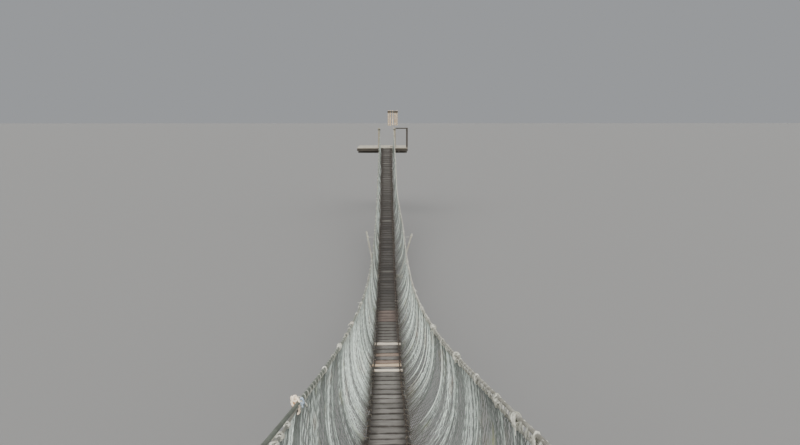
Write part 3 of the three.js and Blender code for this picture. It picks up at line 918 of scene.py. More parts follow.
class FOOTBRIDGE_OT_planks(bpy.types.Operator):
    """Lays the cross planks of the walk, each a little different, with the few newer pale ones"""

    bl_idname = "footbridge.planks"
    bl_label = "Planks"

    def execute(self, context):
        sizes = context.scene.footbridge_planks
        rng = random.Random(41)
        pale, dark, edge = tuple(sizes.pale), tuple(sizes.dark), tuple(sizes.edge)
        old = plank_finish("weathered_plank", pale, dark, edge)
        newer = {
            name: plank_finish(f"{name}_plank", *look)
            for name, look in {
                # The cream and fresh colours are those of newer, paler wood, lifted further as painted
                # sunlight.
                "cream": ((0.92, 0.85, 0.73), (0.8, 0.71, 0.58), (0.36, 0.28, 0.21), 0.4, 0.2),
                "fresh": ((0.95, 0.8, 0.6), (0.85, 0.63, 0.43), (0.45, 0.3, 0.2), 0.4, 0.15),
                "pink": ((0.36, 0.28, 0.225), (0.24, 0.18, 0.14), (0.11, 0.074, 0.056), 0.6, 0.6),
                "rosy": ((0.2, 0.158, 0.138), (0.125, 0.094, 0.08), (0.05, 0.036, 0.03)),
                "dry": ((0.12, 0.117, 0.105), (0.075, 0.07, 0.062), edge),
            }.items()
        }
        seams = [number + rng.uniform(-0.09, 0.09) for number in range(PLANK_COUNT + 1)]
        seams[FIRST_SEEN_SEAM : FIRST_SEEN_SEAM + len(SEEN_SEAMS)] = SEEN_SEAMS
        seams[0], seams[-1] = 0.0, float(PLANK_COUNT)
        first = 0
        pale_piece = Piece("pale_planks")
        for section, end in enumerate(SECTION_ENDS, 1):
            piece = Piece(f"planks_{section}")
            for number in range(first, end):
                gaps = [WIDE_GAPS.get(n, sizes.gap * rng.uniform(0.6, 1.5)) / 2 for n in (number, number + 1)]
                start = WALK_END_GAP + PLANK_PITCH * seams[number] + gaps[0]
                stop = WALK_END_GAP + PLANK_PITCH * seams[number + 1] - gaps[1]
                sort = PALE_PLANKS.get(number)
                half_length = sizes.half_length + (0.025 if sort == "fresh" else 0)
                s = float(station_at((start + stop) / 2))
                body = plank_body(rng, half_length, stop - start, number, 0.0 if sort else sag_shade_share(s))
                shift = rng.uniform(-0.008, 0.008) - (0.05 if sort == "fresh" else 0)
                roll, skew = rng.uniform(-0.012, 0.012), rng.uniform(-0.01, 0.01)
                tilt = Matrix.Rotation(roll, 4, "Y") @ Matrix.Rotation(skew, 4, "Z")
                drop = Matrix.Translation((shift, 0, -PLANK_THICKNESS / 2 + rng.uniform(-0.003, 0.002)))
                (pale_piece if sort else piece).add(body, newer.get(sort, old), deck_matrix(s) @ drop @ tilt)
            piece.finish("plank", f"walk_section_{section}")
            first = end
        pale_piece.finish("plank")
        return {"FINISHED"}


class FOOTBRIDGE_OT_walk_ropes(bpy.types.Operator):
    """Ties the planks: the cables under them, the edge ropes over their ends and the cords between"""

    bl_idname = "footbridge.walk_ropes"
    bl_label = "Walk ropes"

    def execute(self, context):
        sizes = context.scene.footbridge_ropes
        rng = random.Random(7)
        cable = rope_finish(
            "deck_cable", (0.2, 0.2, 0.18), (0.1, 0.1, 0.09), (0.16, 0.1, 0.06), 0.045, 6, 0.6, 0.0015
        )
        # The edge ropes' browns are their own colour darkened further with painted shade along the plank
        # ends, most on the left.
        browns = {
            -1: rope_finish("edge_rope", (0.06, 0.051, 0.04), (0.03, 0.025, 0.019), (0.1, 0.09, 0.07), 0.035),
            1: rope_finish(
                "brown_edge_rope", (0.085, 0.066, 0.05), (0.04, 0.03, 0.023), (0.15, 0.12, 0.09), 0.035
            ),
        }
        tie = cord_finish("plank_tie", (0.2, 0.175, 0.14), (0.08, 0.066, 0.052), (0.34, 0.33, 0.28))
        for name, side in SIDES.items():
            deck_rope(name, side, cable, tie)
            edge_rope(name, side, sizes, rng, browns[side], tie)
        return {"FINISHED"}


def deck_rope(name, side, cable, tie):
    """The cable under one side of the walk, with a loop of cord at each seam."""
    piece = Piece(f"deck_rope_{name}")
    piece.add_rope(deck_cable_path(side), DECK_CABLE_RADIUS, cable)
    loops = []
    for s in SEAM_STATIONS:
        if 0.5 < s < SPAN - 0.5:
            along = (0, math.cos(deck_lean(s)), math.sin(deck_lean(s)))
            loop = winding(under_walk(side, s), along, (0, 0, 1), 0.0135, pitch=0.007, turns=2.2, steps=7)
            loops.append((loop, SEAM_LOOP_CORD))
    piece.add_cords(loops, tie)
    piece.finish("cable", f"deck_cable_{name}")


def edge_rope(name, side, sizes, rng, brown, tie):
    """The rope over the plank ends, tied down at each seam, with loose ends on about half of the ties."""
    piece = Piece(f"edge_rope_{name}")
    radius = sizes.edge_rope_radius
    stations = np.linspace(0.03, SPAN - 0.03, 400)
    sway = 0.004 * np.sin(stations * 5.1 + side) + 0.005 * np.sin(stations * 1.7 + 2 * side)
    lift = radius * 1.05 + 0.002
    place = sizes.edge_rope_place + EDGE_ROPE_SHIFT[side]
    rise = deck_rise(stations) + lift / np.cos(deck_lean(stations))
    piece.add_rope(points_at(side * (place + sway), stations, rise), radius, brown, 6)
    ties = []
    for number, s in enumerate(SEAM_STATIONS):
        ties.append((edge_tie(side, s, place, radius, rng), EDGE_TIE_CORD))
        if number % 3 == 0 or rng.random() < 0.25:
            start = points_at(side * place, s, deck_rise(s) + 2.2 * lift)
            way = (-side * rng.uniform(0.2, 1), rng.uniform(-1, 1), 0.3)
            ties.append((hang([start], rng.uniform(0.02, 0.05), way, 0.5), LOOSE_END_CORD))
    piece.add_cords(ties, tie)
    piece.finish("rope")


def under_walk(side, s):
    """The middle of a deck cable, close under the planks."""
    drop = (PLANK_THICKNESS + DECK_CABLE_RADIUS) / np.cos(deck_lean(s)) + DECK_CABLE_GAP
    return points_at(side * DECK_CABLE_OFFSET, s, deck_rise(s) - drop)


def deck_cable_path(side):
    """The route of the cable under the walk, over both sills to the clamp beams."""
    ends = []
    for end in ("near", "far"):
        right = side * DECK_CABLE_OFFSET * (1 if end == "far" else -1)
        ends.append([landing_matrix(end) @ Vector((right, back, up)) for back, up in DECK_CABLE_STOPS])
    return np.concatenate((ends[0], under_walk(side, np.arange(1, 40) * SPAN / 40), ends[1][::-1]))


def edge_tie(side, s, place, lift, rng):
    """A cord round the edge rope, down through the gap and back round the plank's end."""
    reach = HALF_WALK + 0.018
    wander = rng.uniform(-0.01, 0.01)
    corners = [
        (place - 2.0 * lift, 0, 0.5 * lift),
        (place - 1.2 * lift, 0.003, 2.1 * lift),
        (place, 0.006, 2.6 * lift),
        (place + 1.3 * lift, 0.01, 2.0 * lift),
        ((place + reach) / 2, 0.012 + wander, 0.9 * lift),
        (reach - 0.004, 0.01 + wander, 0.4 * lift),
        (reach + 0.002, 0.006 + wander, -0.015),
        (reach - 0.006, 0.0, -0.033),
        (place, -0.004, -0.036),
        (place - 2.0 * lift, -0.004, -0.02),
        (place - 2.0 * lift, -0.002, 0.4 * lift),
    ]
    return np.array([deck_matrix(s) @ Vector((side * x, y, z)) for x, y, z in corners])


def hand_cable_path(side):
    """The route of a hand cable, from its post at one landing to the collar at the other."""
    tails = []
    for end, station in (("near", 0), ("far", SPAN)):
        at = landing_matrix(end).inverted() @ Vector(hand_line(side, station))
        tail = (at.x, POST_STOP[0], at.z + POST_STOP[1])
        if at.x > 0:
            front = UPRIGHT_PLACE[1] - COLLAR_REACH
            climb = math.atan2(COLLAR_CABLE_LEVEL - at.z, front)
            tail = (UPRIGHT_PLACE[0], front - HAND_RADIUS * math.sin(climb) - CLEARANCE, COLLAR_CABLE_LEVEL)
        tails.append([landing_matrix(end) @ Vector(tail)])
    return np.concatenate((tails[0], hand_line(side, np.linspace(0, SPAN, 201)), tails[1]))


def lashing(side, s, turns, cord, rng, tail=0.07):
    """A cord wound tightly round the hand cable and head rope, crossed back over itself."""
    middle, along, across, up = rope_frame(side, s)
    wide = HAND_RADIUS + cord * 0.9
    high = wide + float(hand_line(side, s)[2] - head_line(side, s)[2]) / 2 * 0.9
    lead = rng.uniform(0, 2 * math.pi)
    first = winding(middle, along, across, (wide, high), cord * 2.0, turns, 8, lead)
    tilt = (along + across * rng.uniform(-0.4, 0.4) + up * rng.uniform(-0.4, 0.4)).normalized()
    outer = (wide + cord * 1.4, high + cord * 1.4)
    back = winding(middle, -tilt, across, outer, cord * 2.0 * turns / 2, 1.5, 9, lead + 1)
    wobble = np.array([[rng.uniform(-1, 1) for _ in range(3)] for _ in range(len(first) + len(back))])
    points = np.concatenate((first, back)) + wobble * cord * 0.25
    way = Vector((rng.uniform(-0.6, 0.6), rng.uniform(-0.6, 0.6), rng.uniform(-0.3, 0.5)))
    return hang(points, tail * rng.uniform(0.5, 1.2), way)


def lump(middle, size, rng, loops, tail=0.05):
    """A knot: a cord turned round one middle again and again, each loop on its own slant."""
    points = []
    steps = 11
    wide, deep, high = size
    lead = rng.uniform(0, 6.0)
    for loop in range(loops):
        slant = Matrix.Rotation(rng.uniform(0, math.pi), 3, "X")
        slant = slant @ Matrix.Rotation(rng.uniform(0, math.pi), 3, "Z")
        grow = 0.72 + 0.28 * (loop + 1) / loops
        for step in range(steps):
            angle = lead + 2 * math.pi * step / steps
            spot = slant @ Vector((math.cos(angle), math.sin(angle), 0.25 * math.sin(2 * angle)))
            points.append(Vector(middle) + Vector((spot.x * wide, spot.y * deep, spot.z * high)) * grow)
    way = Vector((rng.uniform(-1, 1), rng.uniform(-1, 1), rng.uniform(-0.2, 0.6)))
    return hang(points, tail, way)


class FOOTBRIDGE_OT_hand_ropes(bpy.types.Operator):
    """Runs the hand cables and head ropes end to end, laced together and knotted"""

    bl_idname = "footbridge.hand_ropes"
    bl_label = "Hand ropes"

    def execute(self, context):
        sizes = context.scene.footbridge_ropes
        rng = random.Random(19)
        pale, grey = tuple(sizes.rope), tuple(sizes.cable)
        cables = {
            -1: rope_finish("hand_cable", grey, shade(grey, 0.6), (0.3, 0.32, 0.27), 0.06, 6, 0.62, 0.0012),
            1: rope_finish(
                "hand_rope", (0.4, 0.39, 0.34), (0.22, 0.21, 0.175), (0.3, 0.22, 0.17), 0.06, 3, 0.85
            ),
        }
        rope = rope_finish("head_rope", pale, shade(pale, 0.5), (0.26, 0.27, 0.17))
        lacing = cord_finish("lacing", (0.58, 0.58, 0.51), (0.3, 0.3, 0.25), (0.36, 0.29, 0.23))
        old_lacing = cord_finish("old_lacing", (0.38, 0.39, 0.34), (0.2, 0.21, 0.18), (0.27, 0.23, 0.18))
        for name, side in SIDES.items():
            hand = Piece(f"hand_rope_{name}")
            hand.add_rope(hand_cable_path(side), HAND_RADIUS, cables[side], 10)
            hand.finish("cable", f"hand_cable_{name}")
            head = Piece(f"head_rope_{name}")
            head.add_rope(head_line(side, np.linspace(0.0, SPAN, 241)), HEAD_RADIUS, rope)
            head.finish("rope", f"net_head_rope_{name}")
            laced = Piece(f"lacing_{name}")
            windings = [(lacing_line(side, sizes, offset), sizes.lacing_radius) for offset in LACING_CORDS]
            laced.add_cords(windings, lacing if side == 1 else old_lacing)
            laced.add_cords(knotted_cords(side, rng), lacing)
            laced.finish("rope")
        near_knots(rng, lacing)
        return {"FINISHED"}


def knotted_cords(side, rng):
    """The lashings at the suspenders and knots, the knots' own loops, and the small lashings between."""
    cords = []
    for station in suspender_stations(side) + list(KNOTS[side]):
        if station < LACED_FROM[side] - 0.2:
            continue
        turns = rng.choice((2, 3, 4))
        cords.append((lashing(side, station, turns, LASHING_CORD, rng), LASHING_CORD))
        if station in KNOTS[side] and station > NEAR_KNOTS_END:
            big = 1.5 if station in BIG_KNOTS else 1.0
            size = (0.027 * big, 0.034 * big, 0.031 * big)
            middle = rope_middle(side, station) + (0, 0, 0.014 * big)
            cords.append((lump(middle, size, rng, 5), KNOT_CORD))
    station = LACED_FROM[side] + 0.4
    while station < SPAN - 0.4:
        if station > THIN_LASHINGS_START:
            cords.append((lashing(side, station, 1.5, THIN_LASHING_CORD, rng, 0.03), THIN_LASHING_CORD))
        station += rng.uniform(0.35, 1.0)
    return cords


def near_knots(rng, lacing):
    """The knots nearest the camera, with their cords of other colours."""
    fresh = cord_finish("fresh_lashing", (0.86, 0.74, 0.58), (0.62, 0.47, 0.32), (0.5, 0.24, 0.08))
    amber = cord_finish("amber_lashing", (0.55, 0.27, 0.08), (0.3, 0.12, 0.035), (0.7, 0.45, 0.2))
    blue = cord_finish("blue_cord", (0.34, 0.42, 0.5), (0.18, 0.23, 0.3), (0.4, 0.44, 0.46))
    knots = Piece("near_knots")
    left_knot = rope_middle(-1, 3.22) - (0.012, 0, 0)
    low_left = [head_line(-1, s) for s in (2.42, 2.58, 2.8)]
    big_right = rope_middle(1, 2.78)
    low_right = rope_middle(1, 2.34)
    for middle, size, radius, loops, finish in (
        # The amber cords tucked into the left knot stand for the warm shade in its hollows: painted shade.
        (left_knot + (0, 0.012, 0.018), (0.014, 0.012, 0.018), 0.0060, 3, amber),
        (left_knot + (0, 0.008, -0.040), (0.012, 0.012, 0.014), 0.0050, 2, amber),
        (left_knot + (0.034, 0.02, 0.010), (0.013, 0.024, 0.030), 0.0055, 4, blue),
        (low_left[0], (0.02, 0.03, 0.022), 0.0055, 4, lacing),
        (low_left[1], (0.022, 0.03, 0.024), 0.006, 4, lacing),
        (low_left[2], (0.018, 0.026, 0.02), 0.005, 4, lacing),
        (big_right - (0, 0, 0.022), (0.02, 0.04, 0.022), 0.0060, 3, lacing),
        (low_right, (0.02, 0.026, 0.024), 0.0065, 3, lacing),
    ):
        knots.add_cords([(lump(middle, size, rng, loops, 0.045), radius)], finish, 8)
    # Each winding: its place by the knot, axis, radii, pitch, turns, where it starts, and the cord's radius.
    for middle, finish, windings in (
        (left_knot, fresh, (
            ((-0.006, 0, 0.022), (-0.2, 1, -0.4), (0.027, 0.023), 0.012, 2.3, 0.5, 0.0078),
            ((-0.012, 0, 0.046), (-0.9, 1, -0.1), (0.018, 0.017), 0.014, 1.6, 2.0, 0.0070),
            ((0, 0, -0.046), (0.1, 1, -0.5), (0.02, 0.018), 0.012, 2.1, 3.5, 0.0066),
            ((0, 0, -0.012), (1, 0.3, 0), (0.034, 0.021), 0.014, 2.5, 1.0, 0.0065),
        )),
        (big_right, lacing, (
            ((0, 0, 0.014), (0.25, 1, -0.5), (0.029, 0.026), 0.012, 2.4, 0.8, 0.0078),
            ((0, 0, 0.010), (1, 0.5, 0.3), (0.034, 0.022), 0.013, 2.2, 2.1, 0.0068),
        )),
    ):
        cords = [
            (winding(middle + shift, axis, (0, 0, 1), radii, pitch, turns, 12, lead), radius)
            for shift, axis, radii, pitch, turns, lead, radius in windings
        ]
        knots.add_cords(cords, finish, 8)
    knots.finish("rope")


def lacing_line(side, sizes, offset):
    """A cord of the lacing, which winds round the hand cable and head rope from where they are laced."""
    start, stop = LACED_FROM[side] + offset, SPAN - 0.17 + offset
    turns = int((stop - start) / sizes.lacing_pitch)
    s = np.linspace(start, stop, turns * 8 + 1)
    turn = 2 * math.pi * (s - start) / sizes.lacing_pitch + 0.5 * np.sin(s * 2.3)
    line = rope_middle(side, s)
    gap = (hand_line(side, s)[:, 2] - head_line(side, s)[:, 2]) / 2
    line[:, 0] += (HAND_RADIUS + sizes.lacing_radius * 0.8) * np.cos(turn)
    line[:, 2] += (HAND_RADIUS - 0.002 + sizes.lacing_radius * 0.6 + gap) * np.sin(turn)
    return line


def suspender_stations(side):
    """Stations of the cords that hang the walk from the hand rope: those that show, then even ones."""
    listed = list(SUSPENDERS[side])
    beyond = np.arange(listed[-1] + 1.0, SPAN - 0.9, SUSPENDER_PITCH)
    beyond += 0.3 * np.sin(beyond * 7.7 + side)
    return listed + [float(s) for s in beyond if abs(s - SPREADER_STATION) > 0.2]


def suspender_lean(held, height):
    """How far back towards the nearer landing a suspender has come at a height of the net."""
    return SUSPENDER_LEAN * math.cos(math.pi * held / SPAN) * (1 - height) ** LEAN_CURVE


def bunch_table(side):
    """How far the net's strands are drawn along into bunches, at even stations: smooth and irregular."""
    moved = [
        sum(amount * noise.noise(Vector((s / size, 5.3 * side, 2.7 * size))) for size, amount in BUNCHES)
        for s in STATIONS
    ]
    return np.array(moved)


BUNCHED = {side: bunch_table(side) for side in (-1, 1)}


def net_folds(side, s, height):
    """How far the slack net stands out or in, as a share of the fold depth."""
    waves = (
        0.6 * np.sin(2 * math.pi * s / 1.7 + 1.3 * np.sin(0.9 * s) + 3 * side)
        + 0.3 * np.sin(2 * math.pi * s / 0.83 + 2.2 * height + 1.7)
        + 0.16 * np.sin(2 * math.pi * s / 0.47 + side)
    )
    return waves * np.sin(math.pi * np.clip(height, 0, 1)) ** 0.7


def strand_lean(s):
    """How far along the bridge a cord of the net comes from its head to its foot."""
    ends = smooth_step(0, 2.2, s) * smooth_step(0, 2.2, SPAN - s)
    return ends * (SUSPENDER_LEAN * np.cos(math.pi * s / SPAN) + NEAR_LEAN * (1 - smooth_step(4, 8, s)))


def gathered(side, s, height):
    """Stations along the leaning cords, moved towards the suspenders, which draw the net together."""
    height = np.clip(height, 0, 1)
    leaning = s - strand_lean(s) * ((1 - height) ** LEAN_CURVE - 0.38)
    moved = np.array(leaning)
    pull = GATHER[side] * np.sin(math.pi * height) ** 0.4
    for held in suspender_stations(side):
        away = leaning - held + suspender_lean(held, height)
        moved -= pull * away * np.exp(-((away / 0.2) ** 2))
    waist = np.sin(math.pi * height) ** 0.3 * (0.5 + 0.5 * smooth_step(4, 6.5, s))
    moved += waist * np.interp(s + 0.15 * (0.6 - height), STATIONS, BUNCHED[side])
    return np.clip(moved, 0.02, SPAN - 0.02)


def net_points(side, s, height, sizes):
    """Points of the hung net: it starts beside the plank ends, folds, and is drawn in at the suspenders."""
    lap = 0.02
    rise = np.clip((height - lap) / (1 - lap), 0, 1)
    points = net_surface(side, gathered(side, s, height), rise, sizes.fold_depth * net_folds(side, s, rise))
    over = np.clip(1 - height / lap, 0, 1)
    points[..., 0] -= side * over * 0.012
    points[..., 2] -= over * 0.006
    return points


class FOOTBRIDGE_OT_nets(bpy.types.Operator):
    """Knots the side nets, bay by bay, between the walk's edges and the head ropes"""

    bl_idname = "footbridge.nets"
    bl_label = "Side nets"

    def execute(self, context):
        sizes = context.scene.footbridge_nets
        pale = tuple(sizes.pale)
        # Three copies of one cord colour: a dark one for painted shade, a middle one, and a light one for
        # painted light.
        cords = [
            cord_finish(name, shade(pale, share), shade(pale, 0.62 * share), stain, moss)
            for name, share, stain, moss in (
                ("painted_shade_net_cord", 0.2, (0.14, 0.115, 0.09), (0.21, 0.225, 0.12)),
                ("net_cord", 0.6, (0.36, 0.32, 0.26), (0.36, 0.385, 0.2)),
                ("painted_light_net_cord", 1.13, (0.76, 0.74, 0.64), (0.40, 0.43, 0.24)),
            )
        ]
        tie = cord_finish(
            "suspender", (0.82, 0.92, 0.84), (0.6, 0.64, 0.58), (0.5, 0.47, 0.36), (0.62, 0.64, 0.5)
        )
        brown = cord_finish("frayed_cord", (0.2, 0.165, 0.13), (0.1, 0.08, 0.06), (0.34, 0.3, 0.25))
        for name, side in SIDES.items():
            net_bays(name, side, sizes, cords)
            draw = random.Random(60 + side)
            suspenders(name, side, draw, cords[1], tie)
            net_foot(name, side, draw, brown, cords[1])
        return {"FINISHED"}


def net_bays(name, side, sizes, cords):
    """The net of one side, bay by bay, each cord in the finish that its sort calls for."""
    rng = np.random.default_rng(100 + side)
    rows = np.arange(sizes.half_rows + 1)
    columns = round(NET_LENGTHS[-1] / sizes.mesh_length)
    knots = jittered_knots(rng, columns, rows, sizes)
    bays = np.clip(knots[0][:columns, 0] * BAYS / SPAN, 0, BAYS - 1).astype(int)
    for bay in range(BAYS):
        lines = [[] for _ in cords]
        for column in np.flatnonzero(bays == bay):
            for lean in (0, 1):
                sort = cord_sort(side, knots[0][column, 0], rng)
                lines[sort].append(net_strand(side, column, lean, knots, rows, sizes, 0.84 + 0.13 * sort))
        piece = Piece(f"net_mesh_{name}_{bay + 1}")
        for sort, finish in zip(lines, cords):
            piece.add_cords(sort, finish)
        piece.finish("net", f"net_{name}_{bay + 1}")


def suspenders(name, side, draw, slack_finish, taut_finish):
    """The cords that hang the walk from the hand rope: slack thin ones first, then taut pale ones."""
    lines = [[], []]
    for held in suspender_stations(side):
        taut = held > FIRST_TAUT[side]
        for strand in range(draw.choice((1, 2, 2)) if taut and held < NEARER_END else 1):
            radius = draw.uniform(0.0042, 0.0062) if taut else 0.004
            lines[taut].append((suspender_line(side, held, strand, draw), radius))
    piece = Piece(f"suspenders_{name}")
    piece.add_cords(lines[0], slack_finish, 6)
    piece.add_cords(lines[1], taut_finish, 6)
    piece.finish("net")


def net_foot(name, side, draw, brown, grey):
    """The frayed ends that stand out along the net's foot, closer together in its nearer part."""
    loose = [[], []]
    s = 0.15
    while s < SPAN - 0.15:
        loose[draw.random() < 0.5].append((loose_end(side, s, draw), draw.uniform(0.0022, 0.0036)))
        s += draw.uniform(0.02, 0.09) * (1 if s < NEARER_END else 2)
    piece = Piece(f"net_foot_{name}")
    piece.add_cords(loose[0], brown)
    piece.add_cords(loose[1], grey)
    piece.finish("net")


def cord_sort(side, s, rng):
    """Whether a cord of the net is dull, middling or bright, which paints shade and light on the net. Like
    cords stand together in bands.
    """
    stations, shares = zip(*PAINTED_NET_LIGHT[side])
    band = np.interp(s, stations, shares)
    ahead, behind = np.interp((s + 0.06, s - 0.06), STATIONS, BUNCHED[side])
    together = np.clip((behind - ahead) / 0.12, -0.9, 0.9)
    return int(np.clip(3 * (0.48 * band + 0.36 * together + 0.62 * rng.random() + 0.02), 0, 2))


def loose_end(side, s, draw):
    """A frayed end that stands out of the net's foot beside the planks."""
    start = points_at(side * draw.uniform(0.245, 0.292), s, deck_rise(s) + draw.uniform(0.0, 0.03))
    way = (side * draw.uniform(-0.5, 1), draw.uniform(-1, 1), draw.uniform(-0.2, 1))
    return hang([start], draw.uniform(0.025, 0.085), way, draw.uniform(0.2, 1.1))


def jittered_knots(rng, columns, rows, sizes):
    """Station and height of every knot, one column early. Odd rows stand half a mesh along."""
    column, row = np.meshgrid(np.arange(columns + 1), rows, indexing="ij")
    share = (column - 1 + 0.5 * (row % 2) + 0.15) / (columns + 0.8)
    s = np.interp(share * NET_LENGTHS[-1], NET_LENGTHS, STATIONS)
    height = (row / sizes.half_rows) ** 1.15
    inner = np.sin(math.pi * height) ** 0.3
    s = s + rng.normal(0, 0.18 * sizes.mesh_length, s.shape) * inner / crowding(s)
    height = np.clip(height + rng.normal(0, 0.007, s.shape) * inner, 0, 1)
    return np.clip(s, 0.02, SPAN - 0.02), height


def net_strand(side, column, lean, knots, rows, sizes, swell):
    """A cord that runs up the net from knot to knot, to one side and back: thick at its knots, and thinner
    in the nearest part of the net."""
    shift = (rows % 2) * (lean - 1) + 1
    s, height = (
        np.append((ends[:-1, None] + np.diff(ends)[:, None] * (0.0, 0.5)).ravel(), ends[-1])
        for ends in (knots[0][column + shift, rows], knots[1][column + shift, rows])
    )
    radius = np.append(np.tile((1.5, 0.9), len(rows) - 1), 1.5)
    radius = radius * sizes.cord_radius * swell * (0.68 + 0.32 * smooth_step(5, 11, s[0]))
    return net_points(side, s, height, sizes), radius


def suspender_line(side, held, strand, draw):
    """A cord from the hand rope down inside the net to the walk's edge."""
    s_top = held + draw.uniform(-0.05, 0.05)
    height = np.linspace(1, 0, 18)
    lean = suspender_lean(held, height) * draw.uniform(0.8, 1.2)
    s = s_top - lean + 0.012 * np.sin(7 * height + 2 * strand)
    points = net_surface(side, s, height, -0.012 - 0.008 * strand)
    s_foot = s[-1]
    top = hand_line(side, s_top)
    top[2] += HAND_RADIUS
    foot = points_at(side * (HALF_WALK + 0.013), s_foot, deck_rise(s_foot) - 0.02)
    return np.concatenate(([top], points, [foot]))


class FOOTBRIDGE_OT_spreader(bpy.types.Operator):
    """Sets the log under the walk and the two poles that lean out past the hand ropes"""

    bl_idname = "footbridge.spreader"
    bl_label = "Spreader"

    def execute(self, context):
        wood = wood_finish("pole_wood", (0.36, 0.35, 0.3), (0.21, 0.2, 0.165), (0.4, 0.41, 0.36), 0.2)
        cord = cord_finish("pole_lashing", (0.5, 0.5, 0.43), (0.26, 0.25, 0.2), (0.3, 0.26, 0.18))
        low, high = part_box("spreader_crossbar")
        middle = (low + high) / 2
        radius = (high.z - low.z) / 2
        bar = Piece("crossbar_log")
        ends = [(x, middle.y, middle.z) for x in (low.x, high.x)]
        bar.add(log_between(*ends, (radius, radius * 0.93), shift=2.0), wood, smooth=True)
        lines = []
        for side in (-1, 1):
            under = Vector((side * DECK_CABLE_OFFSET, middle.y, middle.z + 0.012))
            foot = Vector((side * SPREADER_FOOT[side] * 1.02, middle.y + 0.036, middle.z))
            for place, axis, wide, deep, turns in (
                (under, (1, 0, 0), 0.022, 0.006, 5),
                (foot, (1, 0.3, 0), 0.006, 0.033, 5),
                (foot, (1, -0.3, 0), 0.009, 0.036, 3),
            ):
                radii = (radius + wide, radius + deep)
                lines.append((winding(place, axis, (0, 0, 1), radii, 2 * POLE_CORD, turns), POLE_CORD))
        bar.add_cords(lines, cord, 6)
        bar.finish("pole", "spreader_crossbar")
        for name, side in SIDES.items():
            low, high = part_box(f"spreader_pole_{name}")
            y = (low.y + high.y) / 2
            thick = (high.y - low.y) / 2 * 1.15
            rise = float(deck_rise(SPREADER_STATION)) + FLOOR
            foot = Vector((side * SPREADER_FOOT[side], y, rise - SPREADER_DROP))
            out, up = SPREADER_TIP[side]
            tip = Vector((side * out, y, rise + up))
            pole = Piece(f"leaning_pole_{name}")
            radii = (thick, thick * 0.9)
            body = log_between(foot, tip, radii, 12, cuts=20, tone=0.1, shift=3.0 + side, bend=0.008)
            pole.add(body, wood, smooth=True)
            rope = Vector(hand_line(side, SPREADER_STATION))
            at = foot.lerp(tip, (rope.z - foot.z) / (tip.z - foot.z))
            head = foot.lerp(tip, 0.97)
            lines = [
                (winding(at, tip - foot, (1, 0, 0), thick * 0.86 + 0.005, 0.009, 6), POLE_CORD),
                (winding(head, tip - foot, (1, 0, 0), thick * 0.74 + 0.004, 0.008, 4), LASHING_CORD),
            ]
            for drop in (-0.006, 0.006):
                start = at + Vector((-side * 0.02, -0.028, drop))
                lines.append((np.array([start, rope + Vector((0, 0.02, drop)), rope]), 0.0028))
            pole.add_cords(lines, cord, 6)
            pole.finish("pole", f"spreader_pole_{name}")
        return {"FINISHED"}


def floor_boards(end, place, rng, sizes, wood, steel):
    """The boards of a landing's floor, cut short round the hole for the upright, with their nails."""
    piece = Piece(f"{end}_boards")
    pitch = sizes.board_width + sizes.board_gap
    count = round((LANDING_DEPTH + sizes.board_gap) / pitch)
    pitch = (LANDING_DEPTH + sizes.board_gap) / count
    hole_x, hole_y = UPRIGHT_PLACE
    for number in range(count):
        front, back = number * pitch, (number + 1) * pitch - sizes.board_gap
        miss = max(0.0, front - hole_y, hole_y - back)
        runs = [(LANDING_LEFT, LANDING_RIGHT)]
        if miss < FLOOR_HOLE_RADIUS:
            half = math.sqrt(FLOOR_HOLE_RADIUS**2 - miss**2)
            runs = [(LANDING_LEFT, hole_x - half), (hole_x + half, LANDING_RIGHT)]
        for low, high in runs:
            drop = rng.uniform(0, 0.002)
            body = board_between(
                (low + rng.uniform(0, 0.012), front, -BOARD_THICKNESS - drop),
                (high - rng.uniform(0, 0.012), back, -drop),
                tone=rng.random(), shift=number + 20 * rng.random(), cuts=10,
            )
            piece.add(body, wood, place)
            for joist in JOIST_PLACES:
                if low + 0.02 < joist < high - 0.02:
                    for share in (0.25, 0.75):
                        nail = add_cone(bmesh.new(), 7, 0.0055, 0.004, 0.004)
                        x = joist + rng.uniform(-0.01, 0.01)
                        spot = (x, front + share * (back - front), 0.001 - drop)
                        piece.add(nail, steel, place @ Matrix.Translation(spot))
    piece.finish("board", f"{end}_floor")


def wrapped_post(low, high, rope_x, level, turns, cord):
    """A winding that holds a hand cable against a post: square round the post, and wider at the cable."""
    middle = Vector(((low[0] + high[0]) / 2 + rope_x, low[1] + POST_SIZE / 2, level))
    half = POST_SIZE / 2 + cord
    points = []
    steps = 16
    for step in range(steps * turns + 1):
        angle = 2 * math.pi * step / steps
        c, s = math.cos(angle), math.sin(angle)
        reach = max(abs(c), abs(s))
        x, y = half * c / reach, half * s / reach
        if x * rope_x > 0:
            x += 2 * rope_x * (1 - abs(y) / half * 0.4)
        points.append(middle + Vector((x - rope_x, y, (step / steps - turns / 2) * cord * 2.05)))
    return np.array(points)


def bolt(spot):
    """A nut and washer on the front face of a post."""
    body = add_cone(bmesh.new(), 6, 0.013, 0.012, 0.012)
    add_cone(body, 14, 0.02, 0.02, 0.003, -0.0045)
    body.transform(Matrix.Translation(spot) @ Matrix.Rotation(math.pi / 2, 4, "X"))
    return body


def landing_box(node, place):
    """A node's box in its landing's own frame."""
    corners = [place.inverted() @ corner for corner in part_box(node)]
    return Vector(map(min, *corners)), Vector(map(max, *corners))


def entry_posts(end, place, rng, wood, steel, cable):
    """The posts of a landing's doorway, each with its nuts and the cable wound on it."""
    for hand in ("left", "right"):
        low, high = landing_box(f"{end}_entry_post_{hand}", place)
        piece = Piece(f"{end}_post_{hand}")
        post = board_between(
            low, high, True, bevel=0.006, cuts=10, tone=rng.random() * 0.5, shift=rng.random() * 30
        )
        piece.add(post, wood, place)
        inward = -1 if low.x > 0 else 1
        line = wrapped_post(low, high, inward * 0.014, high.z - POST_OVER_ROPE + 0.01, 4, POST_CORD)
        piece.add_cords([([place @ Vector(p) for p in line], POST_CORD)], cable, 6)
        for height in BOLT_HEIGHTS:
            piece.add(bolt((low.x + POST_SIZE / 2, low.y, height)), steel, place)
        piece.finish("pole", f"{end}_entry_post_{hand}")


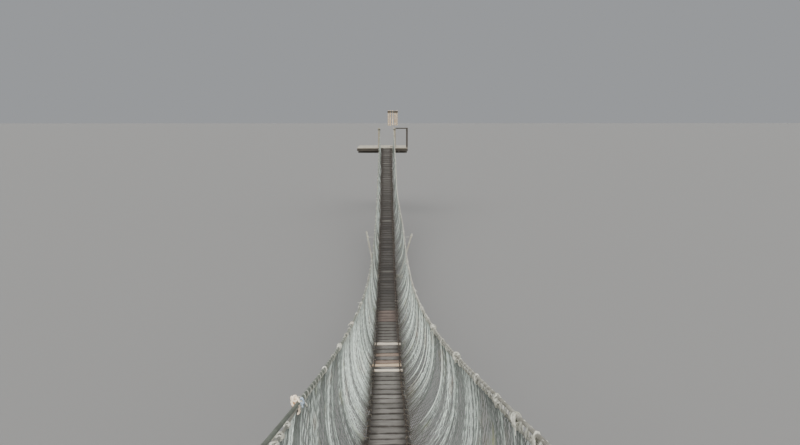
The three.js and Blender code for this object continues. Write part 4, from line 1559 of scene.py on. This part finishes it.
def corner_rail(end, place, wood):
    """The rail down a landing's side, with the post at its corner."""
    low, high = landing_box(f"{end}_corner_rail", place)
    piece = Piece(f"{end}_rail")
    under = RAIL_TOP - RAIL_SIZE
    for first, last, upright, cuts, tone, shift in (
        ((high.x - POST_SIZE, low.y, low.z), (high.x, high.y, under - CLEARANCE), True, 10, 0.5, 4.0),
        ((low.x, low.y, under), (high.x, high.y, RAIL_TOP), False, 8, 0.7, 9.0),
    ):
        bar = board_between(first, last, upright, bevel=0.006, cuts=cuts, tone=tone, shift=shift)
        piece.add(bar, wood, place)
    piece.finish("timber", f"{end}_corner_rail")


def clamp_beams(end, place, rng, wood, steel):
    """The two beams that clamp the upright, with the rods that draw them together."""
    width, depth = CLAMP_SIZE
    middle_x, middle_y = UPRIGHT_PLACE
    fronts = {"front": middle_y - UPRIGHT_RADIUS - width, "back": middle_y + UPRIGHT_RADIUS}
    for name, front in fronts.items():
        piece = Piece(f"{end}_beam_{name}")
        beam = board_between(
            (LANDING_LEFT, front, CLAMP_TOP - depth), (LANDING_RIGHT, front + width, CLAMP_TOP),
            bevel=0.005, cuts=12, tone=rng.random(), shift=rng.random() * 40, rough=0.001,
        )
        piece.add(beam, wood, place)
        if name == "front":
            for x in (middle_x - TIE_ROD_OUT, middle_x + TIE_ROD_OUT):
                tie_rod(piece, place, steel, x, fronts["front"], fronts["back"] + width)
        piece.finish("timber", f"{end}_clamp_beam_{name}")


def tie_rod(piece, place, steel, x, front, back):
    """A rod through both beams, with a plate and a nut at each end."""
    level = CLAMP_TOP - CLAMP_SIZE[1] / 2
    turn = Matrix.Rotation(math.pi / 2, 4, "X")
    rod = add_cone(bmesh.new(), 12, 0.009, 0.009, back - front + 0.06)
    piece.add(rod, steel, place @ Matrix.Translation((x, (front + back) / 2, level)) @ turn)
    for y, outward in ((front, -1), (back, 1)):
        corners = (x - 0.04, y - 0.003, level - 0.04), (x + 0.04, y + 0.003, level + 0.04)
        plate = board_between(*corners, bevel=0.001, cuts=0, rough=0.0003)
        piece.add(plate, steel, place @ Matrix.Translation((0, outward * 0.0035, 0)))
        nut = add_cone(bmesh.new(), 6, 0.018, 0.018, 0.016)
        piece.add(nut, steel, place @ Matrix.Translation((x, y + outward * 0.015, level)) @ turn)


def collar(end, place, rng, wood, cable):
    """The staves that stand round the upright, and the cable wound over them."""
    piece = Piece(f"{end}_staves")
    middle = Matrix.Translation((*UPRIGHT_PLACE, 0))
    for number in range(STAVES):
        turn = Matrix.Rotation(2 * math.pi * number / STAVES, 4, "Z")
        inner, outer, half = UPRIGHT_RADIUS, UPRIGHT_RADIUS + STAVE_THICKNESS, STAVE_WIDTH / 2
        low = (inner, -half + rng.uniform(0, 0.008), STAVE_LOW + rng.uniform(0, 0.035))
        high = (outer, half - rng.uniform(0, 0.008), STAVE_HIGH - rng.uniform(0, 0.035))
        stave = board_between(
            low, high, True, bevel=0.004, cuts=8, tone=rng.random(), shift=number + 50 * rng.random()
        )
        piece.add(stave, wood, place @ middle @ turn)
    reach = UPRIGHT_RADIUS + STAVE_THICKNESS + 0.002 + BAND_CORD
    ring = winding(
        (*UPRIGHT_PLACE, (BAND_LOW + BAND_HIGH) / 2), (0, 0, 1), (0, -1, 0), reach, BAND_PITCH, BAND_TURNS, 36
    )
    piece.add_rope(np.array([place @ Vector(p) for p in ring]), BAND_CORD, cable)
    piece.finish("board", f"{end}_trunk_collar")


class FOOTBRIDGE_OT_landings(bpy.types.Operator):
    """Builds the timber landings: boards, posts, rails and the staves round the upright"""

    bl_idname = "footbridge.landings"
    bl_label = "Landings"

    def execute(self, context):
        sizes = context.scene.footbridge_landings
        pale, dark = tuple(sizes.pale), tuple(sizes.timber)
        boards = wood_finish("floor_board", pale, shade(pale, 0.5), (0.55, 0.53, 0.46), 0.5)
        posts = wood_finish("post_wood", (0.3, 0.275, 0.2), (0.17, 0.145, 0.1), (0.24, 0.245, 0.18), 0.4)
        beams = wood_finish("beam_wood", shade(dark, 1.7), dark, shade(dark, 2.2), 0.5)
        staves = wood_finish("stave_wood", (0.72, 0.58, 0.42), (0.3, 0.215, 0.13), (0.62, 0.56, 0.45), 0.7)
        steel = steel_finish("steel", (0.3, 0.29, 0.28), (0.16, 0.07, 0.03))
        cable = rope_finish(
            "wound_cable", (0.035, 0.033, 0.026), (0.018, 0.017, 0.014), (0.07, 0.045, 0.03), 0.045, 6, 0.6
        )
        for end in ("near", "far"):
            rng = random.Random(len(end))
            place = landing_matrix(end)
            floor_boards(end, place, rng, sizes, boards, steel)
            entry_posts(end, place, rng, posts, steel, cable)
            corner_rail(end, place, beams)
            clamp_beams(end, place, rng, beams, steel)
            collar(end, place, rng, staves, cable)
        return {"FINISHED"}


class FOOTBRIDGE_OT_node_finishes(bpy.types.Operator):
    """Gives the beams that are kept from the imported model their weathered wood"""

    bl_idname = "footbridge.node_finishes"
    bl_label = "Beam finishes"

    def execute(self, context):
        dark = tuple(context.scene.footbridge_landings.timber)
        pale, worn = shade(dark, 1.7), shade(dark, 2.2)
        across = wood_finish("sill_wood", pale, dark, worn, 0.5, on_nodes=(3, 45, 45))
        along = wood_finish("joist_wood", pale, dark, worn, 0.5, on_nodes=(45, 3, 45))
        for end in ("near", "far"):
            for node, material in ((f"{end}_sill_beam", across), (f"{end}_joists", along)):
                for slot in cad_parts[node].material_slots:
                    slot.material = material
        return {"FINISHED"}


class FOOTBRIDGE_OT_stage(bpy.types.Operator):
    """Sets the plain floor, the soft lights and the camera"""

    bl_idname = "footbridge.stage"
    bl_label = "Stage"

    def execute(self, context):
        settings = context.scene.footbridge_stage
        scene = context.scene
        ground = Finish("stage_floor", 0.9)
        ground.shader.inputs["Base Color"].default_value = (*settings.floor_colour, 1)
        body = bmesh.new()
        bmesh.ops.create_grid(body, x_segments=1, y_segments=1, size=STAGE_SIZE)
        body.transform(Matrix.Translation((0, EDGE + SPAN / 2, CAD_BOX[0].z - STAGE_DROP)))
        mesh = bpy.data.meshes.new("stage_floor")
        body.to_mesh(mesh)
        body.free()
        mesh.materials.append(ground.material)
        floor = bpy.data.objects.new("stage_floor", mesh)
        scene.collection.objects.link(floor)

        world = bpy.data.worlds.new("soft_light")
        world.use_nodes = True
        background = world.node_tree.nodes["Background"]
        background.inputs["Color"].default_value = (0.93, 0.96, 1.0, 1)
        background.inputs["Strength"].default_value = settings.sky
        scene.world = world
        # Each light's strength, how wide it is seen to be and how far it is turned, in degrees.
        for name, strength, wide, tilt, lean in (
            ("key_light", settings.sun, 60, 28, -32),
            ("fill_light", settings.fill, 80, 20, 45),
            ("low_light", settings.low, 70, 62, 10),
        ):
            light = bpy.data.lights.new(name, "SUN")
            light.energy = strength
            light.angle = math.radians(wide)
            light.color = (1.0, 0.985, 0.955)
            lamp = bpy.data.objects.new(name, light)
            lamp.rotation_euler = (math.radians(tilt), math.radians(lean), 0)
            scene.collection.objects.link(lamp)

        data = bpy.data.cameras.new("camera")
        data.lens = settings.lens
        data.sensor_width = 36
        data.clip_end = 2000
        camera = bpy.data.objects.new("camera", data)
        camera.location = (0, EDGE, FLOOR + settings.eye_height)
        camera.rotation_euler = (math.pi / 2 - settings.pitch, 0, -settings.yaw)
        scene.collection.objects.link(camera)
        scene.camera = camera
        return {"FINISHED"}


OPERATORS = (
    FOOTBRIDGE_OT_planks,
    FOOTBRIDGE_OT_walk_ropes,
    FOOTBRIDGE_OT_hand_ropes,
    FOOTBRIDGE_OT_nets,
    FOOTBRIDGE_OT_spreader,
    FOOTBRIDGE_OT_landings,
    FOOTBRIDGE_OT_node_finishes,
    FOOTBRIDGE_OT_stage,
)
SETTINGS = {
    "footbridge_planks": PlankSettings,
    "footbridge_ropes": RopeSettings,
    "footbridge_nets": NetSettings,
    "footbridge_landings": LandingSettings,
    "footbridge_stage": StageSettings,
}


class FOOTBRIDGE_PT_sidebar(bpy.types.Panel):
    """Lists the bridge's settings and the operators that make its pieces"""

    bl_idname = "FOOTBRIDGE_PT_sidebar"
    bl_label = "Footbridge"
    bl_space_type = "VIEW_3D"
    bl_region_type = "UI"
    bl_category = "Footbridge"

    def draw(self, context):
        for name, group in SETTINGS.items():
            box = self.layout.box()
            for prop in group.__annotations__:
                box.prop(getattr(context.scene, name), prop)
        for operator in OPERATORS:
            self.layout.operator(operator.bl_idname)


def register():
    for group in SETTINGS.values():
        bpy.utils.register_class(group)
    for name, group in SETTINGS.items():
        setattr(bpy.types.Scene, name, bpy.props.PointerProperty(type=group))
    for made in (*OPERATORS, FOOTBRIDGE_PT_sidebar):
        bpy.utils.register_class(made)


def unregister():
    for made in (FOOTBRIDGE_PT_sidebar, *reversed(OPERATORS)):
        bpy.utils.unregister_class(made)
    for name, group in SETTINGS.items():
        delattr(bpy.types.Scene, name)
        bpy.utils.unregister_class(group)


def main():
    register()
    bpy.ops.footbridge.planks()
    bpy.ops.footbridge.walk_ropes()
    bpy.ops.footbridge.hand_ropes()
    bpy.ops.footbridge.nets()
    bpy.ops.footbridge.spreader()
    bpy.ops.footbridge.landings()
    bpy.ops.footbridge.node_finishes()
    bpy.ops.footbridge.stage()


if __name__ == "__main__":
    main()
